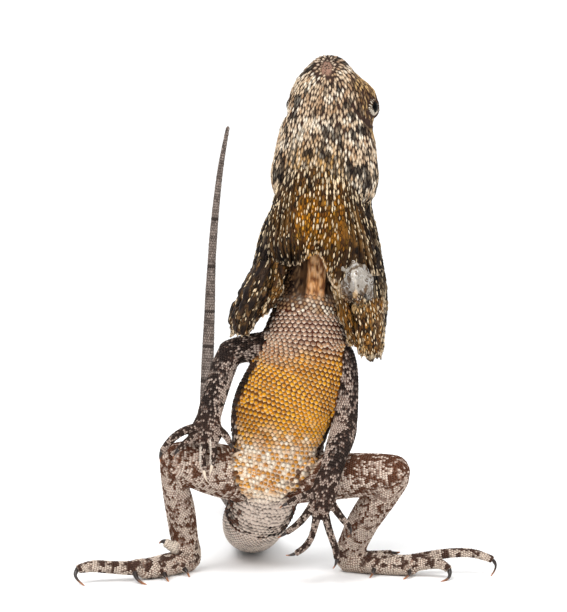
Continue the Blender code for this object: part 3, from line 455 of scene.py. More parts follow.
class Value:
    """A socket of a material, on which Python's arithmetic adds Math nodes."""

    def __init__(self, finish, socket):
        self.finish, self.socket = finish, socket

    def math(self, operation, *others):
        """Adds one Math node of that operation."""
        inputs = dict(enumerate((self, *others)))
        return self.finish.node("ShaderNodeMath", {"operation": operation}, inputs)

    def __add__(self, other):
        return self.math("ADD", other)

    __radd__ = __add__

    def __mul__(self, other):
        return self.math("MULTIPLY", other)

    __rmul__ = __mul__

    def __sub__(self, other):
        return self.math("SUBTRACT", other)

    def __rsub__(self, other):
        return (self * -1.0) + other

    def step(self, low, high):
        """Rises smoothly from 0 to 1 between two values."""
        return self.finish.node("ShaderNodeMapRange", {"interpolation_type": "SMOOTHSTEP"},
                                {"Value": self, "From Min": low, "From Max": high})


class Finish:
    """A Principled material whose other nodes all come from one method."""

    def __init__(self, name):
        self.material = bpy.data.materials.new(name)
        self.material.use_nodes = True
        self.tree = self.material.node_tree
        self.surface = self.tree.nodes["Principled BSDF"]

    def node(self, kind, settings=None, inputs=None, output=0):
        """Adds a node and gives one of its outputs."""
        item = self.tree.nodes.new(kind)
        for key, value in (settings or {}).items():
            if key == "stops":
                stops = item.color_ramp.elements
                while len(stops) < len(value):
                    stops.new(0.5)
                for stop, (position, colour) in zip(stops, value):
                    stop.position = position
                    stop.color = (*colour, 1.0)
            else:
                setattr(item, key, value)
        for key, value in (inputs or {}).items():
            self.join(item.inputs[key], value)
        return Value(self, item.outputs[output])

    def join(self, socket, value):
        """Feeds a socket from another one, or with a colour or number."""
        if isinstance(value, Value):
            self.tree.links.new(value.socket, socket)
        elif isinstance(value, tuple) and len(value) == 3 and socket.type == "RGBA":
            socket.default_value = (*value, 1.0)
        else:
            socket.default_value = value

    def surface_set(self, **values):
        """Sets inputs of the surface, whose names are written with underscores."""
        for key, value in values.items():
            self.join(self.surface.inputs[key.replace("_", " ")], value)

    def attribute(self, name):
        """Reads what write() kept under a name."""
        return self.node("ShaderNodeAttribute", {"attribute_name": name}, {}, "Vector")

    def parts(self, vector):
        """Splits a vector into its three values."""
        split = self.node("ShaderNodeSeparateXYZ", {}, {"Vector": vector})
        return [Value(self, split.socket.node.outputs[i]) for i in range(3)]

    def place(self):
        """Gives the object's own coordinates."""
        return self.node("ShaderNodeTexCoord", {}, {}, "Object")

    def noise(self, vector, scale, detail, roughness=0.5):
        """Adds a noise over a vector."""
        return self.node("ShaderNodeTexNoise", {}, {"Vector": vector, "Scale": scale, "Detail": detail,
                                                    "Roughness": roughness}, "Fac")

    def mix(self, share, below, above):
        """Mixes two colours."""
        return self.node("ShaderNodeMix", {"data_type": "RGBA"}, {0: share, 6: below, 7: above}, 2)

    def shade(self, colour, factor):
        """Darkens or lightens a colour."""
        grey = self.node("ShaderNodeCombineXYZ", {}, {0: factor, 1: factor, 2: factor})
        return self.node("ShaderNodeVectorMath", {"operation": "MULTIPLY"}, {0: colour, 1: grey})

    def bump(self, height, distance, strength):
        """Roughens the surface by a height."""
        normal = self.node("ShaderNodeBump", {}, {"Height": height, "Distance": distance,
                                                  "Strength": strength})
        self.join(self.surface.inputs["Normal"], normal)


CHIN = (19.3, 240.8)
CHIN_TIP = Vector(place((CHIN[0], SNOUT.y - 6.0, CHIN[1])))
# Dark spots under the head: place across and up, and size
HEAD_SPOTS = [
    (5.2, 225.3, 1.8), (9.0, 231.0, 1.2), (4.0, 218.0, 1.6), (1.0, 211.6, 1.3), (17.4, 222.0, 1.1),
    (25.4, 231.8, 1.1), (28.1, 224.2, 1.2), (30.3, 218.5, 1.5), (34.5, 211.6, 1.8), (31.1, 209.5, 1.5),
    (13.9, 209.5, 0.9), (19.3, 209.5, 0.9), (10.9, 201.9, 1.4), (33.8, 193.4, 1.6), (38.3, 200.3, 1.4),
    (36.0, 185.8, 1.7), (42.2, 191.2, 1.5), (-1.6, 195.4, 1.1), (-2.6, 189.5, 1.0), (1.6, 187.6, 1.0),
    (2.6, 193.6, 0.9),
]
# Fine pleats down the throat: how far to the left each lies and how far back it starts, in millimetres
THROAT_LINES = ((-10.5, 34.0), (12.0, 36.0), (-7.4, 47.0), (-4.0, 44.0), (-0.6, 50.0), (2.6, 46.0),
                (5.6, 44.0), (8.6, 48.0))
# Two deeper seams beside them: how far to the left each lies, and where it starts and ends
THROAT_SEAMS = ((-13.2, 38.0, 62.0), (10.2, 34.0, 64.0))
# The middle of the throat and neck, across, at heights from the chest up
THROAT_HEIGHTS, THROAT_ACROSS = (125.0, 141.0, 155.0, 200.0), (13.2, 14.6, 15.4, 18.0)
# Where the right hand's middle fingers carry a painted highlight along their edges: places across and up
FINGER_EDGE_HIGHLIGHTS = [[(-35.0, 52.0), (-35.2, 67.0)], [(-39.4, 52.0), (-40.0, 57.0), (-39.6, 64.0)]]
# Heights of the dark rings where the tail rises
TAIL_RINGS = (164.9, 136.6, 110.3, 90.0, 70.0)
# The lip on the animal's left, seen from the front: places across and up
LIP_LINE = [(33.4, 243.0), (33.1, 238.9), (32.1, 234.7), (31.5, 231.8), (34.5, 223.3), (37.4, 214.7),
            (40.3, 207.1), (42.4, 202.4)]
# The outline of the lower belly, seen from the front: height, right edge and left edge
BELLY_EDGE = np.array([(33.0, -14.0, -8.0), (36.0, -18.5, -2.0), (41.6, -22.5, 5.0), (47.8, -24.4, 9.8),
                       (54.5, -25.2, 14.5), (64.5, -25.6, 18.6), (75.0, -26.0, 25.0)])

BONE = (0.86, 0.76, 0.62)
TAN = (0.38, 0.22, 0.115)
PINK = (0.66, 0.53, 0.44)
BROWN = (0.040, 0.019, 0.012)
RUST = (0.095, 0.031, 0.012)
INK = (0.010, 0.006, 0.005)
ORANGE = (0.62, 0.225, 0.003)
AMBER = (0.72, 0.31, 0.006)
GAP_RED = (0.075, 0.018, 0.008)
GOLD = (0.54, 0.205, 0.010)
UMBER = (0.008, 0.004, 0.003)
SLATE = (0.026, 0.020, 0.016)
TAUPE = (0.235, 0.190, 0.165)
SHED = (0.50, 0.45, 0.39)
FLECK = (0.80, 0.62, 0.40)


def hide_finish():
    """The hide of skin and scales alike: its scales are pale at their rims, with a painted highlight toward
    their tips and painted shade toward their roots.
    """
    finish = Finish("hide")
    tint, edge = finish.attribute("tint"), finish.attribute("edge")
    _, rim, reach = finish.parts(finish.attribute("cell"))
    fine = finish.noise(finish.place(), 1500.0, 3.0, 0.6)
    # Rims take the pale edge colour; toward its tip each scale is drawn to it as well, a painted highlight
    colour = finish.mix(rim.step(0.66, 0.90) * 0.6 + reach.step(0.58, 0.88) * 0.85, tint, edge)
    # light darkens each scale toward its root, under the scale before it: painted shade
    light = (0.20 + reach.step(0.0, 0.60) * 0.80) * (0.80 + fine * 0.40)
    finish.surface_set(Base_Color=finish.shade(colour, light), Roughness=0.50 + fine * 0.26,
                       Specular_IOR_Level=0.12)
    finish.bump(fine, 0.0002, 0.5)
    return finish.material


def frill_finish():
    """The frill's thin skin, in the tints that each point carries, with painted shade toward each scale's
    root.
    """
    finish = Finish("frill_skin")
    tint, edge = finish.attribute("tint"), finish.attribute("edge")
    _, rim, reach = finish.parts(finish.attribute("cell"))
    fine = finish.noise(finish.place(), 1100.0, 3.0, 0.65)
    colour = finish.mix(rim.step(0.50, 0.82), tint, edge)
    # light darkens each scale toward its root, under the scale before it: painted shade
    light = (0.5 + reach.step(0.0, 0.45) * 0.5) * (0.60 + fine * 0.8)
    finish.surface_set(Base_Color=finish.shade(colour, light), Roughness=0.40 + fine * 0.25,
                       Specular_IOR_Level=0.14)
    finish.bump(fine, 0.0003, 0.7)
    return finish.material


def claw_finish():
    """Horn, near black at the root and amber at the tip, with two claws painted pale as a highlight."""
    finish = Finish("claw_horn")
    reach, pale, _ = finish.parts(finish.attribute("tone"))
    streak = finish.noise(finish.place(), 900.0, 2.0)
    tip = (reach + (streak - 0.5) * 0.3).step(0.5, 1.05)
    colour = finish.mix(tip, (0.018, 0.011, 0.009), (0.40, 0.135, 0.035))
    # Two claws of the right hand are painted pale: painted highlight
    colour = finish.mix(pale, colour, (0.70, 0.58, 0.46))
    finish.surface_set(Base_Color=colour, Roughness=0.24 + streak * 0.12)
    finish.bump(streak, 0.0001, 0.4)
    return finish.material


def eye_finish():
    """A wet eye: a black round pupil with a thin brown ring in a near black iris."""
    finish = Finish("eye_wet")
    turn, _, _ = finish.parts(finish.attribute("tone"))
    fibre = finish.noise(finish.attribute("root"), 2600.0, 2.0)
    ring = finish.node("ShaderNodeValToRGB", {"stops": [
        (0.0, (0.001, 0.001, 0.001)), (0.50, (0.001, 0.001, 0.001)), (0.54, (0.030, 0.012, 0.005)),
        (0.60, (0.012, 0.005, 0.003)), (0.66, (0.005, 0.003, 0.002)), (0.70, (0.004, 0.002, 0.002)),
        (1.0, (0.01, 0.007, 0.006))]}, {"Fac": turn + (fibre - 0.5) * 0.03})
    finish.surface_set(Base_Color=finish.shade(ring, 0.7 + fibre * 0.6), Roughness=0.25,
                       Specular_IOR_Level=0.04)
    return finish.material


def floor_finish():
    """A plain, almost white studio floor."""
    finish = Finish("studio_floor")
    haze = finish.noise(finish.place(), 3.0, 2.0)
    finish.surface_set(Base_Color=finish.shade((0.93, 0.93, 0.93), 0.985 + haze * 0.02), Roughness=0.85)
    return finish.material


def rounded_copy(node, face_angle, shape_angle, sharp=None):
    """Gives a rounded copy of a CAD node. Edges steeper than sharp stay creased; angles in degrees."""
    bm = bmesh.new()
    bm.from_mesh(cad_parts[node].data)
    bmesh.ops.remove_doubles(bm, verts=bm.verts, dist=WELD)
    bmesh.ops.join_triangles(bm, faces=bm.faces, angle_face_threshold=math.radians(face_angle),
                             angle_shape_threshold=math.radians(shape_angle))
    if sharp is not None:
        crease = bm.edges.layers.float.new("crease_edge")
        for edge in bm.edges:
            if edge.is_manifold and edge.calc_face_angle(0.0) > math.radians(sharp):
                edge[crease] = 1.0
    item = from_bmesh("copy_" + node, bm)
    modifier = item.modifiers.new("round", "SUBSURF")
    modifier.levels = modifier.render_levels = 2
    settle(item)
    return item


def make_skin():
    """Makes one skin over all the nodes of flesh, with no seam between them."""
    whole = bmesh.new()
    for node in FLESH:
        item = rounded_copy(node, 30, 50, 55)
        whole.from_mesh(item.data)
        bpy.data.objects.remove(item, do_unlink=True)
    whole.normal_update()
    for vert in whole.verts:
        vert.co += vert.normal * SKIN_SWELL
    for side in SIDES:
        low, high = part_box("eye_" + side)
        radius = (high - low).z / 2 - SOCKET_GAP
        socket = bmesh.new()
        bmesh.ops.create_uvsphere(socket, u_segments=24, v_segments=16, radius=radius)
        bmesh.ops.translate(socket, verts=socket.verts, vec=(low + high) / 2)
        spare = bpy.data.meshes.new("socket_fill")
        socket.to_mesh(spare)
        socket.free()
        whole.from_mesh(spare)
        bpy.data.meshes.remove(spare)
    skin = from_bmesh("skin", whole)
    remesh = skin.modifiers.new("one_skin", "REMESH")
    remesh.mode = "VOXEL"
    remesh.voxel_size = SKIN_VOXEL
    settle(skin)
    thin = skin.modifiers.new("thin", "DECIMATE")
    thin.ratio = min(1.0, SKIN_TRIANGLES / (2.0 * len(skin.data.polygons)))
    settle(skin)
    return skin


def belly_edge(at):
    """Gives how far a design point lies inside the lower belly's outline, seen from the front."""
    x, z = at[:, 0], at[:, 2]
    heights, right, left = BELLY_EDGE.T
    inside = np.minimum(x - np.interp(z, heights, right), np.interp(z, heights, left) - x)
    return np.where(z < heights[0], -9.0, inside)


def from_throat(x, z):
    """Gives how far design places lie to the left of the middle of the throat."""
    return x - np.interp(z, THROAT_HEIGHTS, THROAT_ACROSS)


# How much a wider row draws points to itself, as a share of its reach
ROW_PULL = 0.25


class Cover:
    """The skin as the scales need it: where it is, which way it faces and which node it covers."""

    def __init__(self, skin, rows):
        self.skin, self.rows = skin, rows
        flesh, owners, corners = [], [], []
        for index, node in enumerate(FLESH):
            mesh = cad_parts[node].data
            start = len(corners)
            corners.extend(v.co.copy() for v in mesh.vertices)
            for polygon in mesh.polygons:
                flesh.append([start + i for i in polygon.vertices])
                owners.append(index)
        self.node_tree = BVHTree.FromPolygons(corners, flesh)
        self.refresh()
        points = coordinates(skin.data)
        self.label = np.array([owners[self.node_tree.find_nearest(Vector(p))[2]] for p in points])
        at = points / MM - STAND
        bulge = (belly_edge(at) > 0) & (self.normals[:, 1] < -0.15) & (at[:, 2] < BELLY_EDGE[-1, 0])
        bulge &= np.isin(self.label, [FLESH.index(name) for name in ("thigh_right", "thigh_left", "pelvis")])
        self.label[bulge] = FLESH.index("belly")

    def refresh(self):
        """Reads the skin again after its points have moved."""
        mesh = self.skin.data
        self.points = coordinates(mesh)
        normals = np.empty(len(mesh.vertices) * 3, np.float32)
        mesh.vertex_normals.foreach_get("vector", normals)
        self.normals = normals.reshape(-1, 3).astype(float)
        self.tree = BVHTree.FromPolygons([Vector(p) for p in self.points],
                                         [tuple(f.vertices) for f in mesh.polygons])
        self.corner = np.array([f.vertices[0] for f in mesh.polygons])

    def move(self, points):
        """Moves the skin's points."""
        points[:, 2] = np.maximum(points[:, 2], FLOOR_GAP)
        self.skin.data.vertices.foreach_set("co", np.ascontiguousarray(points, np.float32).ravel())
        self.skin.data.update()
        self.refresh()

    def match(self, points, labels):
        """Finds, for points of the skin, the row whose centre line is nearest and the place along it."""
        best = np.full(len(points), 1e9)
        which = np.zeros(len(points), int)
        where = np.zeros(len(points), int)
        for number, row in enumerate(self.rows):
            wanted = np.isin(labels, [FLESH.index(node) for node in row.nodes])
            if not wanted.any():
                continue
            index, gap = row.line.nearest(points[wanted])
            gap = gap - row.reach * ROW_PULL
            closer = gap < best[wanted]
            spots = np.flatnonzero(wanted)[closer]
            best[spots] = gap[closer]
            which[spots] = number
            where[spots] = index[closer]
        return which, where


def relax_skin(cover):
    """Softens the skin's steps, and most where one node runs into the next."""
    mesh = cover.skin.data
    ends = np.array([e.vertices[:] for e in mesh.edges])
    points = cover.points
    near = np.zeros(len(points))
    border = cover.label[ends[:, 0]] != cover.label[ends[:, 1]]
    near[ends[border].ravel()] = 1.0
    for _ in range(BORDER_SPREAD):
        wider = near.copy()
        np.maximum.at(wider, ends[:, 0], near[ends[:, 1]] * BORDER_FADE)
        np.maximum.at(wider, ends[:, 1], near[ends[:, 0]] * BORDER_FADE)
        near = wider
    digits = named(np.array(FLESH)[cover.label], "hand", "foot")
    points = smooth_sheet(points, ends, np.full(len(points), SOFTEN), SOFTEN_ROUNDS)
    weights = BORDER_SOFTEN * near * np.where(digits, DIGIT_SHARE, 1.0)
    points = smooth_sheet(points, ends, weights, BORDER_ROUNDS)
    cover.move(points)


def scale_shape(widest, neck, tip, keel, flat):
    """Makes one scale, 1 wide and 1 long: how wide its root is, how far back its tip, and its keel."""
    bm = bmesh.new()
    bmesh.ops.create_circle(bm, cap_ends=False, segments=6, radius=0.5)
    rim = sorted(bm.verts, key=lambda v: math.atan2(v.co.x, -v.co.y) % (2 * math.pi))
    shape = [(0.0, -0.52, -0.10), (neck, -0.26, 0.02), (widest, 0.16, 0.14), (0.0, tip, 0.42),
             (-widest, 0.16, 0.14), (-neck, -0.26, 0.02)]
    for vert, spot in zip(rim, shape):
        vert.co = spot
    low, high = bm.verts.new((0.0, -0.16, keel * 0.8)), bm.verts.new((0.0, 0.22, keel))
    if flat:
        low.co.y, high.co.y = -0.24, 0.26
    deep = bm.verts.new((0.0, 0.0, -0.9))
    for i in range(6):
        bm.faces.new((rim[(i + 1) % 6], rim[i], deep))
    for i, j, top in ((0, 1, low), (5, 0, low), (2, 3, high), (3, 4, high)):
        bm.faces.new((rim[i], rim[j], top))
    bm.faces.new((rim[1], rim[2], high, low))
    bm.faces.new((rim[4], rim[5], low, high))
    bmesh.ops.recalc_face_normals(bm, faces=bm.faces)
    bmesh.ops.triangulate(bm, faces=bm.faces)
    bm.verts.index_update()
    points = np.array([v.co[:] for v in bm.verts])
    faces = np.array([[v.index for v in f.verts] for f in bm.faces])
    edge = np.array([1.0 if v in rim else 0.0 for v in bm.verts])
    bm.free()
    return points, faces, edge


SCALES = {
    "leaf": scale_shape(0.46, 0.34, 0.60, 1.0, False),
    "spindle": scale_shape(0.44, 0.36, 0.62, 0.9, True),
    "plate": scale_shape(0.50, 0.44, 0.50, 0.85, True),
}


class Coat:
    """Gathers scales of one shape and joins them into one mesh."""

    def __init__(self, shape="leaf"):
        self.shape = SCALES[shape]
        self.items = []

    def add(self, spot, along, normal, length, width, height, tint, edge, grain, chart):
        """Takes in one scale: its place, directions, size, colours, grain and place in the chart."""
        self.items.append((*spot, *along, *normal, length, width, height, *tint, *edge, grain, *chart))

    def build(self, name, material):
        """Joins the scales into one piece."""
        points, faces, edge = self.shape
        data = np.array(self.items, float)
        spot, along, normal = data[:, 0:3], data[:, 3:6], data[:, 6:9]
        size, tint, rim = data[:, 9:12], data[:, 12:15], data[:, 15:18]
        grain, chart = data[:, 18], data[:, 19:21]
        side = unit(np.cross(along, normal))
        along = np.cross(normal, side)
        count, corners = len(data), len(points)
        verts = (spot[:, None, :] + side[:, None, :] * (points[None, :, 0:1] * size[:, None, 1:2])
                 + along[:, None, :] * (points[None, :, 1:2] * size[:, None, 0:1])
                 + normal[:, None, :] * (points[None, :, 2:3] * size[:, None, 2:3]))
        verts[:, :, 2] = np.maximum(verts[:, :, 2], FLOOR_GAP)
        index = faces[None, :, :] + (np.arange(count) * corners)[:, None, None]
        mesh = bpy.data.meshes.new(name)
        mesh.from_pydata(verts.reshape(-1, 3).tolist(), [], index.reshape(-1, 3).tolist())
        mesh.shade_smooth()
        # Each point's reach from its scale's root to its tip: the materials paint shade at the root from it,
        # and the hide a highlight at the tip
        reach = np.tile(points[:, 1] + 0.5, count)
        cell = np.stack([np.repeat(grain, corners), np.tile(edge, count), reach], axis=1)
        write_skin(mesh, np.repeat(tint, corners, axis=0), np.repeat(rim, corners, axis=0), cell)
        layer = mesh.uv_layers.new(name="OFBake")
        corner = chart[:, None, :] * (1.0 - 2 * CHART_EDGE) + CHART_EDGE + points[None, :, :2] * CHART_SCALE
        corner = corner.reshape(-1, 2)[index.reshape(-1)]
        layer.data.foreach_set("uv", corner.astype(np.float32).ravel())
        mesh.materials.append(material)
        item = link(name, mesh)
        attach(item, BODY)


def named(names, *parts):
    """Says which points belong to the parts of that name, on either side."""
    return np.isin(names, list(parts) + [f"{part}_{side}" for part in parts for side in SIDES])


# A random field's cells before it repeats, its rounds of finer detail, the shift between them, and
# what makes its values lie evenly
FIELD_CELLS, FIELD_ROUNDS, FIELD_SHIFT = 32, 2, 7.3
FIELD_SLOPE, FIELD_WIDTH = -1.7, 0.30


def spread(points, pitch, seed):
    """A random field over space, in millimetres, whose values lie evenly between 0 and 1."""
    table = np.random.RandomState(seed).uniform(-1, 1, (FIELD_CELLS,) * 3)
    spots = points @ TURN_FIELD / pitch + seed
    total, weight, power = 0.0, 1.0, 0.0
    for _ in range(FIELD_ROUNDS):
        index = np.floor(spots).astype(int)
        share = spots - index
        share = share * share * (3.0 - 2.0 * share)
        value = 0.0
        for corner in range(8):
            step = np.array([corner & 1, corner >> 1 & 1, corner >> 2 & 1])
            part = np.prod(np.where(step == 1, share, 1.0 - share), axis=1)
            at = (index + step) % FIELD_CELLS
            value = value + part * table[at[:, 0], at[:, 1], at[:, 2]]
        total = total + weight * value
        power += weight * weight
        weight *= 0.5
        spots = spots * 2.0 + FIELD_SHIFT
    return 1.0 / (1.0 + np.exp(FIELD_SLOPE * total / (FIELD_WIDTH * math.sqrt(power))))


def toward(tints, colour, share):
    """Moves one colour or rows of colours toward another colour, each by its own share."""
    share = np.atleast_1d(np.clip(share, 0.0, 1.0))[:, None]
    return np.asarray(tints, float) * (1.0 - share) + np.asarray(colour, float) * share


def band(value, low, full, past, end):
    """Rises from 0 to 1 between low and full, and falls back between past and end."""
    return ramp(low, full, value) * ramp(end, past, value)


def bell(value, middle, width):
    """Gives 1 at the middle, and falls off smoothly over a width on either side."""
    return np.exp(-((value - middle) / width) ** 2)


def wash(layers, colour, share):
    """Moves several layers of colours toward one colour, in place."""
    for layer in layers:
        layer[:] = toward(layer, colour, share)


def throat_line(place_of, back):
    """Gives where a fine pleat of the throat lies to the left, as it wavers on its way back."""
    return place_of + 0.8 * np.sin(back * 0.16 + place_of)


def throat_seams(back, side):
    """Gives how dark the seams and pleats of the throat are, as painted shade in their grooves, at distances
    back from the snout.
    """
    seam = np.zeros(len(side))
    for place_of, first, last in THROAT_SEAMS:
        away = np.abs(side - place_of - 0.9 * np.sin(back * 0.2))
        seam = np.maximum(seam, ramp(0.9, 0.3, away) * band(back, first, first + 5, last - 4, last))
    for place_of, start in THROAT_LINES:
        away = np.abs(side - throat_line(place_of, back))
        seam = np.maximum(seam, ramp(0.75, 0.25, away) * ramp(start, start + 8, back))
    return seam


class Paint:
    """The hide's colours: each scale's own, its rim's, and the skin's between the scales."""

    def __init__(self, points, normals, labels, seed=2):
        self.names = np.array(FLESH)[labels]
        self.at = points / MM - STAND
        self.x, self.y, self.z = self.at.T
        self.front, self.up = -normals[:, 1], normals[:, 2]
        self.out = normals[:, 0] * np.sign(self.x)
        self.normals = normals
        self.grain = np.random.RandomState(seed).uniform(0, 1, len(points))
        self.tint, self.edge, self.gap = (
            np.tile(colour, (len(points), 1)) for colour in (TAUPE, TAUPE, BROWN))
        for part in (self.head, self.neck, self.trunk, self.legs,
                     self.arms, self.hands, self.feet, self.tail):
            part()

    def put(self, mask, tint, edge, gap):
        """Keeps the colours of the points of one part."""
        for kept, value in ((self.tint, tint), (self.edge, edge), (self.gap, gap)):
            kept[mask] = np.clip(value[mask], 0.0, 1.0)

    def field(self, pitch, seed, stretch=(1.0, 1.0, 1.0)):
        """A random field over the hide, whose values lie evenly between 0 and 1."""
        return spread(self.at / np.array(stretch), pitch, seed)

    def blots(self, cover, pitch, seed, soft=0.04, stretch=(1.0, 1.0, 1.0)):
        """Gives a blotched mask that covers the wanted share of the hide."""
        return ramp(cover + soft, cover - soft, self.field(pitch, seed, stretch))

    def head(self):
        """Colours the cream and dark head, its chin, lip and throat."""
        offset = self.at - np.array(SNOUT)
        back, side = offset @ np.array(BACK), offset @ np.array(LEFT)
        under = self.normals @ -np.array(CROWN)
        facing = self.front > 0
        tint, gold, dark = self.head_ground(back, side, under)
        chin = np.hypot(self.x - CHIN[0], (self.z - CHIN[1]) * 0.8)
        disc = ramp(3.0, 2.3, chin) * facing
        arc = band(chin, 2.7, 3.3, 4.6, 5.4) * ramp(CHIN[1] - 1, CHIN[1] + 1.5, self.z) * facing
        dark = dark * (1 - np.maximum(disc, arc * 0.8))
        tint = toward(tint, (0.62, 0.48, 0.36), arc * 0.8)
        lip, jaw, gilt = self.lip()
        tint = toward(tint, gilt, jaw * 0.9)
        dark = dark * (1 - 0.6 * jaw)
        tint = toward(tint, INK, dark * (0.75 + 0.25 * self.grain))
        tint = toward(tint, (0.07, 0.038, 0.020), lip * 0.9)
        tint = toward(tint, (0.30, 0.185, 0.135), disc)
        # The throat's seams and pleats are darkened to ink: painted shade in their grooves
        seam = throat_seams(back, side) * ramp(0.0, 0.4, under)
        tint = toward(tint, INK, seam * 0.8 * facing)
        gap = toward(BROWN, (0.16, 0.085, 0.02), gold * 0.6)
        gap = toward(toward(gap, INK, np.maximum(dark, seam)), (0.30, 0.17, 0.12), disc)
        self.put(self.names == "head", tint, tint * 0.72, gap)

    def head_ground(self, back, side, under):
        """Gives the head's own colours, how golden its throat is and where its dark spots are."""
        blush = self.field(4.0, 6)
        mixed = 0.55 * self.grain + 0.45 * blush
        tint = toward((0.68, 0.52, 0.36), TAN, ramp(0.50, 0.85, mixed) * 0.85)
        tint = toward(tint, BONE, ramp(0.42, 0.20, mixed) * 0.9)
        top = ramp(0.15, -0.35, under)
        gold = ramp(212, 186, self.z) * ramp(0.0, 0.6, under) * ramp(20, 9, np.abs(side))
        tint = toward(tint, (0.60, 0.32, 0.06), gold * (0.25 + 0.6 * self.grain))
        tint = toward(tint, (0.33, 0.19, 0.06), top * 0.75)
        snout = ramp(236, 245, self.z)
        tint = toward(tint, (0.30, 0.20, 0.14), snout * 0.6)
        cheek = ramp(13, 18, np.abs(side)) * ramp(40, 50, back)
        cover = 0.045 + 0.14 * cheek + 0.16 * top + 0.14 * snout
        cover = cover + 0.06 * ramp(14, 20, np.abs(side)) + 0.10 * gold
        dark = self.blots(cover, 2.8, 3, 0.05, (1.0, 1.0, 1.7))
        rough = self.field(1.6, 5) - 0.5
        for u, v, size in HEAD_SPOTS:
            gap = np.hypot(self.x - u, (self.z - v) / 1.25)
            spot = ramp(size * 1.15, size * 0.85, gap + rough * size * 1.1)
            dark = np.maximum(dark, spot * (self.front > 0))
        return tint, gold, dark

    def lip(self):
        """Gives the dark line of the lip, the jaw beyond it and the jaw's striped colours."""
        lip_x = np.interp(-self.z, [-v for _, v in LIP_LINE], [u for u, _ in LIP_LINE])
        beyond = (self.x - lip_x) * (self.front > -0.2) * (self.z > LIP_LINE[-1][1])
        lip = ramp(0.95, 0.45, np.abs(beyond)) * (self.z > LIP_LINE[-1][1]) * (self.front > -0.2)
        jaw = ramp(0.6, 1.4, beyond)
        stripe = ramp(-0.35, 0.35, np.sin((beyond - 0.5) * 2.3 + 1.2 * (self.field(5.0, 7) - 0.5)))
        gilt = toward((0.13, 0.060, 0.018), (0.62, 0.40, 0.17), stripe * (0.35 + 0.65 * self.grain))
        return lip, jaw, gilt

    def neck(self):
        """Colours the bare strip down the throat, with painted shade toward its sides, and the dark skin
        beside it, its own brown deepened by painted shadow in the hollows.
        """
        mask = self.names == "neck"
        across = np.abs(from_throat(self.x, self.z))
        strip = ramp(5.0, 4.2, across) * ramp(0.1, 0.4, self.front)
        base = ramp(136, 128, self.z)
        streak = self.field(1.0, 31, (1.0, 1.0, 1.6))
        bare = toward((0.60, 0.28, 0.10), (0.14, 0.042, 0.014), ramp(0.60, 0.80, streak) * 0.9)
        bare = toward(bare, (0.78, 0.50, 0.28), ramp(0.34, 0.08, streak) * 0.7)
        # The strip darkens toward its sides, where it turns into the hollows: painted shade
        bare = toward(bare, (0.15, 0.055, 0.025), ramp(3.2, 4.6, across) * 0.5)
        shade = self.field(3.0, 32)
        mesh = np.abs(self.field(1.7, 33) - 0.5)
        # The skin in the hollows beside the strip: its own dark brown, deepened as painted shadow
        deep = toward((0.030, 0.014, 0.008), (0.12, 0.058, 0.024), ramp(0.35, 0.9, shade))
        deep = toward(deep, (0.34, 0.20, 0.10), ramp(0.10, 0.03, mesh) * 0.75)
        tint = toward(deep, bare, strip)
        scaled = toward(TAN, BONE, ramp(0.3, 0.9, self.grain))
        tint = toward(tint, scaled, base * ramp(0.0, 0.3, self.front))
        self.put(mask, tint, tint * 0.9, toward(tint, GAP_RED, base))

    def underside(self):
        """Gives the colours of the pinkish chest, the orange belly and the pale groin."""
        z, x = self.z, self.x
        wavy = z + 5.0 * (self.field(12.0, 9) - 0.5) - 0.10 * (x - 5)
        warm = ramp(119, 100, wavy + 9.0 * (self.grain - 0.5))
        warm = warm * ramp(58, 72, z + 12.0 * (self.field(4.0, 12) - 0.5))
        few = ramp(0.52, 0.62, self.field(1.9, 14, (1.6, 1.0, 1.0)))
        warm = np.maximum(warm, 0.9 * few * band(z, 36, 44, 66, 74))
        core = toward(ORANGE, AMBER, ramp(0.2, 0.8, self.grain))
        glow = self.field(9.0, 15)
        core = toward(core, (0.40, 0.125, 0.003), ramp(0.6, 0.98, glow) * 0.6)
        white = toward((0.88, 0.76, 0.61), (0.74, 0.54, 0.37), ramp(0.45, 1.0, self.grain) * 0.7)
        tint = toward(white, core, warm)
        chest = ramp(99, 116, wavy + 6.0 * (glow - 0.5))
        brown_chest = chest * ramp(0.45, 0.95, 0.5 * self.field(3.0, 16) + 0.5 * self.grain)
        tint = toward(tint, (0.34, 0.150, 0.075), chest * 0.80)
        tint = toward(tint, (0.20, 0.085, 0.045), brown_chest * 0.85)
        edge = toward((1.0, 0.80, 0.44), (1.0, 0.89, 0.74), np.maximum(chest, ramp(70, 60, z)))
        edge = toward(edge, tint, 0.15 + 0.30 * brown_chest)
        gap = toward((0.13, 0.040, 0.004), GAP_RED, chest)
        low = ramp(66, 58, z)
        gap = toward(gap, (0.70, 0.53, 0.38), low)
        line = np.cos(2 * math.pi * (z + 1.6 * np.sin(x * 0.22) + 2.4 * self.field(6.0, 18)) / 4.1)
        crease = ramp(0.70, 0.95, line) * band(z, 34, 40, 66, 74)
        crease = crease * ramp(0.2, 0.5, self.field(5.0, 19))
        gap = toward(gap, (0.58, 0.22, 0.02), crease * 0.9)
        tint = toward(tint, (0.58, 0.24, 0.02), crease * 0.85)
        edge = toward(edge, (0.62, 0.30, 0.05), crease * 0.7)
        wash((tint, edge, gap), (0.70, 0.58, 0.50), ramp(40, 34, z) * 0.9)
        return tint, edge, gap

    def trunk(self):
        """Colours the trunk: its underside, the dark flanks, partly the arm's painted shadow, and the
        painted shade in the crease round the lower belly.
        """
        mask = named(self.names, "chest", "belly", "pelvis", "tail_1")
        z, x = self.z, self.x
        tint, edge, gap = self.underside()
        # Where the trunk turns to the side it takes the dark flank colours, widest on the animal's right; on
        # its left this band is partly the arm's painted shadow
        belly = ramp(0.38, 0.52, self.front - 0.12 * ramp(4, -8, x))
